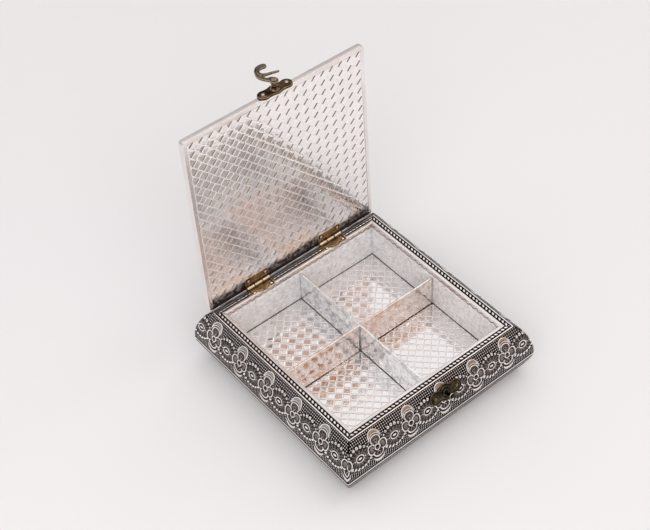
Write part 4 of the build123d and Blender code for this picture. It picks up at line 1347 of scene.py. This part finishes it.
def leaf_plate(sdf, bounds, nails, thick=0.7, press=0.16, lip=None, low=-0.9):
    """Stamped leaf: rounded edge, a pressed line just inside it, dimples round the nails. Local z up from 0.
    lip = (x, y0, y1, height): a turned-up end, with a painted highlight along its crest and a painted shadow beside it."""
    def top(x, y, d):
        z = thick - rounded(d, 0.28) + 0.0 * x
        z = z - press * np.exp(-((d - 0.95) / 0.22) ** 2)
        z = z + 0.05 * smoothstep(1.2, 2.4, d)
        for nx, ny in nails:
            r = np.hypot(x - nx, y - ny)
            z = z - 0.24 * np.exp(-((r - 1.62) / 0.26) ** 2)
        if lip:
            z = z + lip[3] * smoothstep(0.62, 0.30, np.abs(x - lip[0])) * smoothstep(lip[1] - 0.3, lip[1] + 0.3, y) * smoothstep(lip[2] + 0.3, lip[2] - 0.3, y)
        return z + 0.07 * (value_noise(x / 2.3, y / 2.1, 3.0) - 0.5)

    def bottom(x, y, d):
        return 0.0 + rounded(d, 0.15)

    x0, x1, y0, y1 = bounds
    v, f, a = sdf_plate(sdf, x0, x1, y0, y1, 0.14, top, bottom)
    rub = 0.25 * np.exp(-(a["edge"] / 0.3) ** 2) - 0.75 * np.exp(-((a["edge"] - 0.95) / 0.30) ** 2)
    for nx, ny in nails:
        rub = rub - 1.0 * np.exp(-((np.hypot(v[:, 0] - nx, v[:, 1] - ny) - 1.62) / 0.34) ** 2)
    # the lip's crest gets a painted highlight, and the leaf just inside it a painted shadow
    if lip:
        on = (v[:, 1] > lip[1] - 0.2) & (v[:, 1] < lip[2] + 0.2)
        rub = rub + on * (1.2 * np.exp(-((v[:, 0] - lip[0]) / 0.35) ** 2) - 1.3 * np.exp(-((v[:, 0] - lip[0] + 0.95) / 0.35) ** 2))
    rub = rub + low * np.exp(-((v[:, 1] - 2.1) / 0.5) ** 2)
    return v, f, {"rub": rub}


def rect_sdf(x, y, x0, x1, y0, y1, r=0.3):
    cx, cy, hx, hy = (x0 + x1) / 2, (y0 + y1) / 2, (x1 - x0) / 2 - r, (y1 - y0) / 2 - r
    qx, qy = np.abs(x - cx) - hx, np.abs(y - cy) - hy
    return np.hypot(np.maximum(qx, 0), np.maximum(qy, 0)) + np.minimum(np.maximum(qx, qy), 0) - r


for side, cx in (("left", -HINGE_X), ("right", HINGE_X)):
    # box leaf, flat on the rim: y measured forward from the pin axis
    def box_leaf_sdf(x, y):
        body = np.minimum(rect_sdf(x, y, -11.25, 11.25, 1.75, 6.8, 0.5), rect_sdf(x, y, 4.0, 11.25, 1.75, 8.7, 0.5))
        lobe = np.maximum(np.hypot(x, y - 1.3) - 8.2, 1.8 - y)
        notch = -(np.hypot(x + 7.75, y - 7.2) - 0.85)
        neck = rect_sdf(x, y, -3.7, 3.7, 0.2, 3.5, 0.1)
        s = np.minimum(np.maximum(np.minimum(body, lobe), notch), neck)
        return s
    v, f, a = leaf_plate(box_leaf_sdf, (-11.6, 11.6, -0.1, 9.8), [(-8.4, 6.1), (8.4, 6.1)], lip=(10.6, 2.6, 8.2, 0.75))
    # drawn with y forward (towards -Y), so turn it over
    v = np.stack([v[:, 0] + cx, PIN_Y - v[:, 1], PIN_Z - 1.5 + v[:, 2]], -1)
    f = [g[:, ::-1] for g in f]
    parts = [(v, f, a), barrel(cx - 3.75, cx + 3.75)]
    ob = mesh_object("hinge_leaf_box_%s_stamped" % side, *join_arrays(parts))
    dress(ob, M_BRASS, "box", "hinge_brass", "hinge_leaf_box_" + side)

    # lid leaf, drawn closed under the lid, then opened
    def lid_leaf_sdf(x, y):
        body = rect_sdf(x, y, -11.25, 11.25, 1.75, 10.0, 0.45)
        a_ = rect_sdf(np.abs(x), y, 4.05, 11.2, 0.2, 3.5, 0.1)
        return np.minimum(body, a_)
    v, f, a = leaf_plate(lid_leaf_sdf, (-11.6, 11.6, -0.1, 10.3), [(-8.4, 6.6), (8.4, 6.6)])
    v = np.stack([v[:, 0] + cx, PIN_Y - v[:, 1], PIN_Z + 1.5 - v[:, 2]], -1)
    parts = [(v, f, a), barrel(cx - 11.25, cx - 4.0), barrel(cx + 4.0, cx + 11.25)]
    v, f, a = join_arrays(parts)
    ob = mesh_object("hinge_leaf_lid_%s_stamped" % side, opened(v), f, a)
    dress(ob, M_BRASS, "lid", "hinge_brass", "hinge_leaf_lid_" + side)

    # pin with upset ends
    prof = [(0.0, 0.0), (0.55, 0.02), (0.95, 0.18), (1.15, 0.45), (1.12, 0.72), (0.72, 0.8), (0.70, 1.2)]
    L = 22.5 + 2 * 0.95
    full = prof + [(r, L - z) for r, z in prof[::-1]]
    v, f, a = lathe(full, 32)
    v = np.stack([v[:, 2] + cx - L / 2, PIN_Y + v[:, 0], PIN_Z + v[:, 1]], -1)
    ob = mesh_object("hinge_pin_%s_turned" % side, v, [f[0][:, ::-1]])
    dress(ob, M_NAIL, "box", "nail_brass", "hinge_pin_" + side)


def nail_part(r, h, seed=0.0, shank=2.0):
    prof = [(0.0, -shank), (0.42, -shank + 0.5), (0.46, -0.02), (r * 0.96, -0.02), (r, 0.08 * h), (r * 0.985, 0.26 * h), (r * 0.90, 0.50 * h),
            (r * 0.74, 0.72 * h), (r * 0.52, 0.88 * h), (r * 0.28, 0.97 * h), (0.0, h)]
    v, f, a = lathe(prof, 28)
    d = 1 + 0.05 * (value_noise(v[:, 0] * 1.3 + seed, v[:, 1] * 1.3 + seed, 5.0) - 0.5)
    v = v * np.stack([d, d, np.ones(len(d))], -1)
    return v, f, {"rub": np.where(np.hypot(v[:, 0], v[:, 1]) > r * 0.93, -0.9, 0.7)}


box_n, lid_n = [], []
for cx in (-HINGE_X, HINGE_X):
    for dx in (-8.4, 8.4):
        box_n.append(place(nail_part(1.35, 0.7, cx + dx), (cx + dx, PIN_Y - 6.1, PIN_Z - 0.80), (0, 0, 1)))
        lid_n.append(place(nail_part(1.35, 0.5, cx - dx), (cx + dx, PIN_Y - 6.6, PIN_Z + 0.80), (0, 0, -1)))
ob = mesh_object("hinge_nails_box_domed", *join_arrays(box_n))
dress(ob, M_NAIL, "box", "nail_brass", "hinge_nails_box")
v, f, a = join_arrays(lid_n)
ob = mesh_object("hinge_nails_lid_domed", opened(v), f, a)
dress(ob, M_NAIL, "lid", "nail_brass", "hinge_nails_lid")


# ============================================================================
# latch: plate, rivet, hook, stud
# ============================================================================
def plate_sdf(x, y):
    lobes = np.minimum(np.hypot(x - 10.4, y), np.hypot(x + 10.4, y)) - 5.0
    waist = rect_sdf(x, y, -10.4, 10.4, -4.5, 4.5, 0.1)
    return smin(smin(lobes, waist, 0.8), np.hypot(x, y) - 5.3, 1.6)


def plate_top(x, y, d):
    z = 1.6 - rounded(d, 0.7)
    z = z - 0.30 * np.exp(-((d - 1.15) / 0.34) ** 2)          # pressed line inside the raised edge
    dome = np.minimum(np.hypot(x - 10.6, y), np.hypot(x + 10.6, y))
    z = z + 0.32 * smoothstep(3.1, 1.4, dome) * (d > 0)
    ring = np.hypot(x, y)
    z = z + 0.25 * smoothstep(4.3, 3.6, ring)
    return np.minimum(z, 1.85) + 0.05 * (value_noise(x / 1.7, y / 1.5, 9.0) - 0.5)


def plate_rub(part, dx):
    """Worn rims and domes, dark pressed lines and sides."""
    v, f, a = part
    d = a["edge"]
    dome = np.minimum(np.hypot(v[:, 0] - dx, v[:, 1]), np.hypot(v[:, 0] + dx, v[:, 1]))
    rub = 0.35 * np.exp(-((d - 0.45) / 0.25) ** 2) - 0.9 * np.exp(-((d - 1.15) / 0.42) ** 2) - 1.3 * (d < 0.08)
    rub = rub + 0.25 * smoothstep(3.0, 1.9, dome) - 1.1 * np.exp(-((dome - 1.75) / 0.35) ** 2)
    return v, f, {"rub": rub}


pl = plate_rub(sdf_plate(plate_sdf, -15.6, 15.6, -5.4, 5.4, 0.16, plate_top, lambda x, y, d: 0.0 + rounded(d, 0.1)), 10.7)
boss_profile = [(3.95, 1.2), (3.75, 1.7), (3.45, 2.05), (3.25, 2.35), (2.95, 3.0), (2.6, 3.8), (2.42, 4.6), (2.42, 5.1), (2.6, 5.35), (2.6, 5.75),
                (2.38, 6.0), (2.25, 6.6), (2.22, 7.35), (2.1, 7.6), (1.3, 7.62)]
bv, bf, _ = lathe(boss_profile, 48)
ba = {"rub": 0.9 * np.exp(-((bv[:, 2] - 5.5) / 0.3) ** 2) + 0.5 * np.exp(-((bv[:, 2] - 2.2) / 0.3) ** 2) - 0.8 * np.exp(-((bv[:, 2] - 4.7) / 0.35) ** 2)}
v, f, a = join_arrays([pl, (bv, bf, ba)])
ob = mesh_object("hook_plate_domed", on_edge(v), f, a)
dress(ob, M_DARK, "lid", "dark_bronze", "hook_plate")

parts = [place(nail_part(1.5, 0.8, dx), (dx, 0, 1.72), (0, 0, 1)) for dx in (-10.8, 10.8)]
v, f, a = join_arrays(parts)
ob = mesh_object("hook_plate_nails_domed", on_edge(v), f, a)
dress(ob, M_RIVET, "lid", "dark_bronze", "hook_plate_nails")

rivet = [(1.18, 3.0), (1.18, 9.72), (2.1, 9.75), (2.3, 9.95), (2.28, 10.25), (2.0, 10.6), (1.5, 10.82), (0.9, 10.86), (0.55, 10.78), (0.0, 10.74)]
v, f, a = lathe(rivet, 40)
ob = mesh_object("hook_rivet_domed", on_edge(v), f, a)
dress(ob, M_HOOK, "lid", "dark_bronze", "hook_rivet")

HOOK = [(-2.9, 1.6), (-5.0, 4.3), (-6.7, 7.9), (-7.0, 11.7), (-5.8, 15.5), (-3.8, 18.9),
        (-1.0, 21.3), (2.8, 21.95), (6.0, 21.1), (7.2, 19.0), (6.4, 17.1), (4.6, 16.5), (2.6, 17.0),
        (0.2, 16.7), (-1.3, 15.3), (-1.65, 13.4), (-0.75, 11.6), (1.5, 10.2), (5.0, 9.05), (9.2, 7.4),
        (9.85, 6.75), (9.3, 6.15), (5.0, 7.3), (1.5, 8.2), (-1.0, 8.75), (-2.7, 8.2), (-2.9, 6.8),
        (-1.8, 5.4), (0.2, 4.75), (1.9, 3.3)]
hook_outline = spline_through(HOOK, 8, closed=True)


def hook_sdf(x, y):
    s = polygon_sdf(x, y, hook_outline)
    s = smin(s, np.hypot(x, y) - 3.4, 0.5)
    return np.maximum(s, 1.26 - np.hypot(x, y))


def hook_face(sign):
    def face(x, y, d):
        z = 0.9 - rounded(d, 0.55) + 0.0 * x
        groove = 0.12 * np.exp(-((d - 1.05) / 0.30) ** 2) * (np.hypot(x, y) > 3.6)
        return 8.7 + sign * (z - groove * (sign > 0))
    return face


hk = sdf_plate(hook_sdf, -7.6, 10.4, -3.8, 22.2, 0.15, hook_face(1), hook_face(-1))
v, f, a = hk
a = {"rub": 0.45 * np.exp(-((a["edge"] - 0.35) / 0.3) ** 2) - 0.7 * np.exp(-((a["edge"] - 1.05) / 0.35) ** 2) - 0.5 * (a["edge"] < 0.05)}
ob = mesh_object("hook_cast", on_edge(v), f, a)
dress(ob, M_HOOK, "hook", "hook_bronze", "hook")

# stud plate, bent over the shoulder
STUD_X, STUD_Z = 4.6, 41.4
ys_m = float(np.interp(-STUD_Z, -np.array([p[1] for p in PROFILE]), [p[0] for p in PROFILE]))
v_stud = float(V_AXIS[np.argmin(np.where(V_AXIS > 0, np.abs(soft_path[:, 1] - STUD_Z), 99))])


def stud_plate_sdf(x, y):
    lobes = np.minimum(np.hypot(x - 10.1, y), np.hypot(x + 10.1, y)) - 5.3
    waist = rect_sdf(x, y, -10, 10, -4.7, 4.7, 0.1)
    return smin(smin(lobes, waist, 1.0), np.hypot(x, y) - 6.8, 1.4)


def stud_plate_top(x, y, d):
    z = 1.3 - rounded(d, 0.6)
    z = z - 0.26 * np.exp(-((d - 1.1) / 0.34) ** 2)
    z = z + 0.18 * smoothstep(3.4, 1.6, np.minimum(np.hypot(x - 10.6, y), np.hypot(x + 10.6, y))) * (d > 0)
    z = z - 0.22 * np.exp(-((np.hypot(x, y) - 3.6) / 0.5) ** 2)
    return np.minimum(z, 1.42) + 0.06 * (value_noise(x / 1.6, y / 1.4, 2.0) - 0.5)


def on_shoulder(v):
    m, z, nm, nz = section(v_stud - v[:, 1])
    return np.stack([STUD_X + v[:, 0], -(m + nm * v[:, 2]), z + nz * v[:, 2]], -1)


v, f, a = plate_rub(sdf_plate(stud_plate_sdf, -15.8, 15.8, -7.2, 7.2, 0.17, stud_plate_top, lambda x, y, d: -0.1 + rounded(d, 0.1)), 10.6)
a["rub"] = a["rub"] - 0.9 * np.exp(-((np.hypot(v[:, 0], v[:, 1]) - 3.5) / 0.5) ** 2)
ob = mesh_object("stud_plate_pressed", on_shoulder(v), f, a)
dress(ob, M_STUD, "box", "dark_bronze", "stud_plate")

ca, sa = math.cos(math.radians(15)), math.sin(math.radians(15))
stud_prof = [(1.0, -3.0), (1.0, 0.4), (2.6, 0.9), (2.5, 1.35), (2.0, 1.75), (1.45, 2.2), (1.15, 2.9), (1.15, 6.8), (1.5, 7.15), (2.1, 7.25), (2.3, 7.5), (2.28, 7.95),
             (2.02, 8.42), (1.5, 8.7), (0.8, 8.8), (0.0, 8.82)]
sv, sf, _ = lathe(stud_prof, 44)
# Bright bands round the side of the head and round the flange are painted highlights; the top, neck and shank stay
# dark.
stud_glint_rub = {"rub": np.where(sv[:, 2] > 7.2, 0.75 - 1.9 * (sv[:, 2] > 8.3), -1.0) + 1.6 * np.exp(-((sv[:, 2] - 0.9) / 0.2) ** 2)}
v, f, a = place((sv, sf, stud_glint_rub), (STUD_X, -ys_m, STUD_Z), (0, -ca, sa))
ob = mesh_object("stud_turned", v, f, a)
dress(ob, M_KNOB, "box", "dark_bronze", "stud")

parts = []
m, z, nm, nz = section(np.array([v_stud]))
for dx in (-10.6, 10.6):
    parts.append(place(nail_part(1.5, 0.8, dx), (STUD_X + dx, -(m[0] + nm[0] * 1.28), z[0] + nz[0] * 1.28), (0, -nm[0], nz[0])))
ob = mesh_object("stud_plate_nails_domed", *join_arrays(parts))
dress(ob, M_STUD, "box", "dark_bronze", "stud_plate_nails")

# ---- CAD solids that stay as they are, with their own materials -------------
for n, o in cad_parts.items():
    if n in ("lid_board", "base_board") or n.startswith("wall_"):
        o.data.materials.clear()
        o.data.materials.append(M_WOOD)
    elif n == "base_felt":
        o.data.materials.clear()
        o.data.materials.append(M_FELT)

# ============================================================================
# camera, floor, light
# ============================================================================
cam = bpy.data.cameras.new("camera")
cam.sensor_width = 36.0
cam.lens = 77.334
cam.clip_start = 0.05
cam.clip_end = 50.0
co = bpy.data.objects.new("camera", cam)
fwd = Vector((0.41802056, 0.55163068, -0.72177725)).normalized()
right = Vector((0.77085624, -0.63578547, -0.0394651)).normalized()
up = (-fwd).cross(right)
rot = Matrix((right, up, -fwd)).transposed().to_4x4()
co.matrix_world = Matrix.Translation(Vector((-0.45404, -0.55621, 0.86143))) @ rot
scene.collection.objects.link(co)
scene.camera = co

# one swept sheet: table running up into a far backdrop
prof = [(-3.2, 0.0), (1.6, 0.0)]
for k in range(1, 13):
    t = k / 12 * math.pi / 2
    prof.append((1.6 + 0.9 * math.sin(t), 0.9 - 0.9 * math.cos(t)))
prof.append((2.5, 3.0))
xs = np.linspace(-4.0, 4.0, 9)
vv = np.array([[(x, y, z) for x in xs] for y, z in prof]).reshape(-1, 3) * 1000
vv[:, 2] -= 0.05
stage = mesh_object("stage_floor", vv, grid_faces(len(prof), len(xs)))
m = Nodes("stage")
n1 = m.noise(1.4, 2.0, 0.5)
m.set(Base_Color=m.mix(n1, (0.780, 0.773, 0.781), (0.768, 0.760, 0.768)), Roughness=0.85)
stage.data.materials.append(m.mat)

world = bpy.data.worlds.new("world")
world.use_nodes = True
scene.world = world
wt = world.node_tree
wt.nodes.clear()
wo = wt.nodes.new("ShaderNodeOutputWorld")
bg = wt.nodes.new("ShaderNodeBackground")
wt.links.new(bg.outputs[0], wo.inputs[0])
tc = wt.nodes.new("ShaderNodeTexCoord")


def w_dot(vec, lo, hi):
    """1 towards vec, falling to 0, by the cosine of the angle."""
    d = wt.nodes.new("ShaderNodeVectorMath")
    d.operation = "DOT_PRODUCT"
    wt.links.new(tc.outputs["Generated"], d.inputs[0])
    n = Vector(vec).normalized()
    d.inputs[1].default_value = n
    r = wt.nodes.new("ShaderNodeMapRange")
    r.interpolation_type = "SMOOTHSTEP"
    wt.links.new(d.outputs["Value"], r.inputs[0])
    r.inputs[1].default_value = lo
    r.inputs[2].default_value = hi
    return r.outputs[0]


def w_mix(fac, a, b):
    n = wt.nodes.new("ShaderNodeMix")
    n.data_type = "RGBA"
    wt.links.new(fac, n.inputs["Factor"])
    for s, v in ((n.inputs[6], a), (n.inputs[7], b)):
        if isinstance(v, tuple):
            s.default_value = (*v, 1)
        else:
            wt.links.new(v, s)
    return n.outputs[2]


col = w_mix(w_dot((0, 0, 1), -0.1, 0.9), (0.91, 0.875, 0.88), (1.0, 0.98, 0.982))
col = w_mix(w_dot((-0.40, -0.90, 0.10), 0.80, 0.95), col, (0.13, 0.125, 0.125))
col = w_mix(w_dot((0.70, -0.40, 0.60), 0.965, 0.985), col, (0.30, 0.33, 0.37))
col = w_mix(w_dot((-0.405, -0.49, 0.772), 0.9955, 0.9985), col, (0.15, 0.175, 0.21))
col = w_mix(w_dot((0.38, -0.49, 0.785), 0.9960, 0.9990), col, (0.84, 0.715, 0.64))
col = w_mix(w_dot((0.361, -0.474, 0.803), 0.9950, 0.9984), col, (0.37, 0.140, 0.036))
col = w_mix(w_dot((0.45, -0.72, 0.53), 0.966, 0.984), col, (0.66, 0.33, 0.15))
col = w_mix(w_dot((0.418, -0.15, 0.895), 0.984, 0.992), col, (2.6, 2.5, 2.4))
wt.links.new(col, bg.inputs[0])
bg.inputs[1].default_value = 0.97


def area(name, loc, target, size, power, color=(1, 1, 1)):
    l = bpy.data.lights.new(name, "AREA")
    l.shape = "RECTANGLE"
    l.size, l.size_y = size
    l.energy = power
    l.color = color
    o = bpy.data.objects.new(name, l)
    o.location = loc
    d = Vector(target) - Vector(loc)
    o.rotation_euler = d.to_track_quat("-Z", "Y").to_euler()
    o.visible_glossy = False
    scene.collection.objects.link(o)
    return o


area("key", (1.3, 0.2, 1.9), (0, 0, 0.05), (2.0, 2.0), 4.0, (1.0, 0.985, 0.975))
area("back", (0.2, 1.9, 1.5), (0, 0, 0.1), (2.2, 1.6), 2.4, (1.0, 0.99, 0.985))
area("fill", (-1.1, -1.4, 1.3), (0, 0, 0.0), (2.2, 1.9), 23.0, (1.0, 0.985, 0.98))

scene.view_settings.view_transform = "Standard"
scene.view_settings.look = "None"
scene.view_settings.exposure = 0.0
scene.view_settings.gamma = 1.0
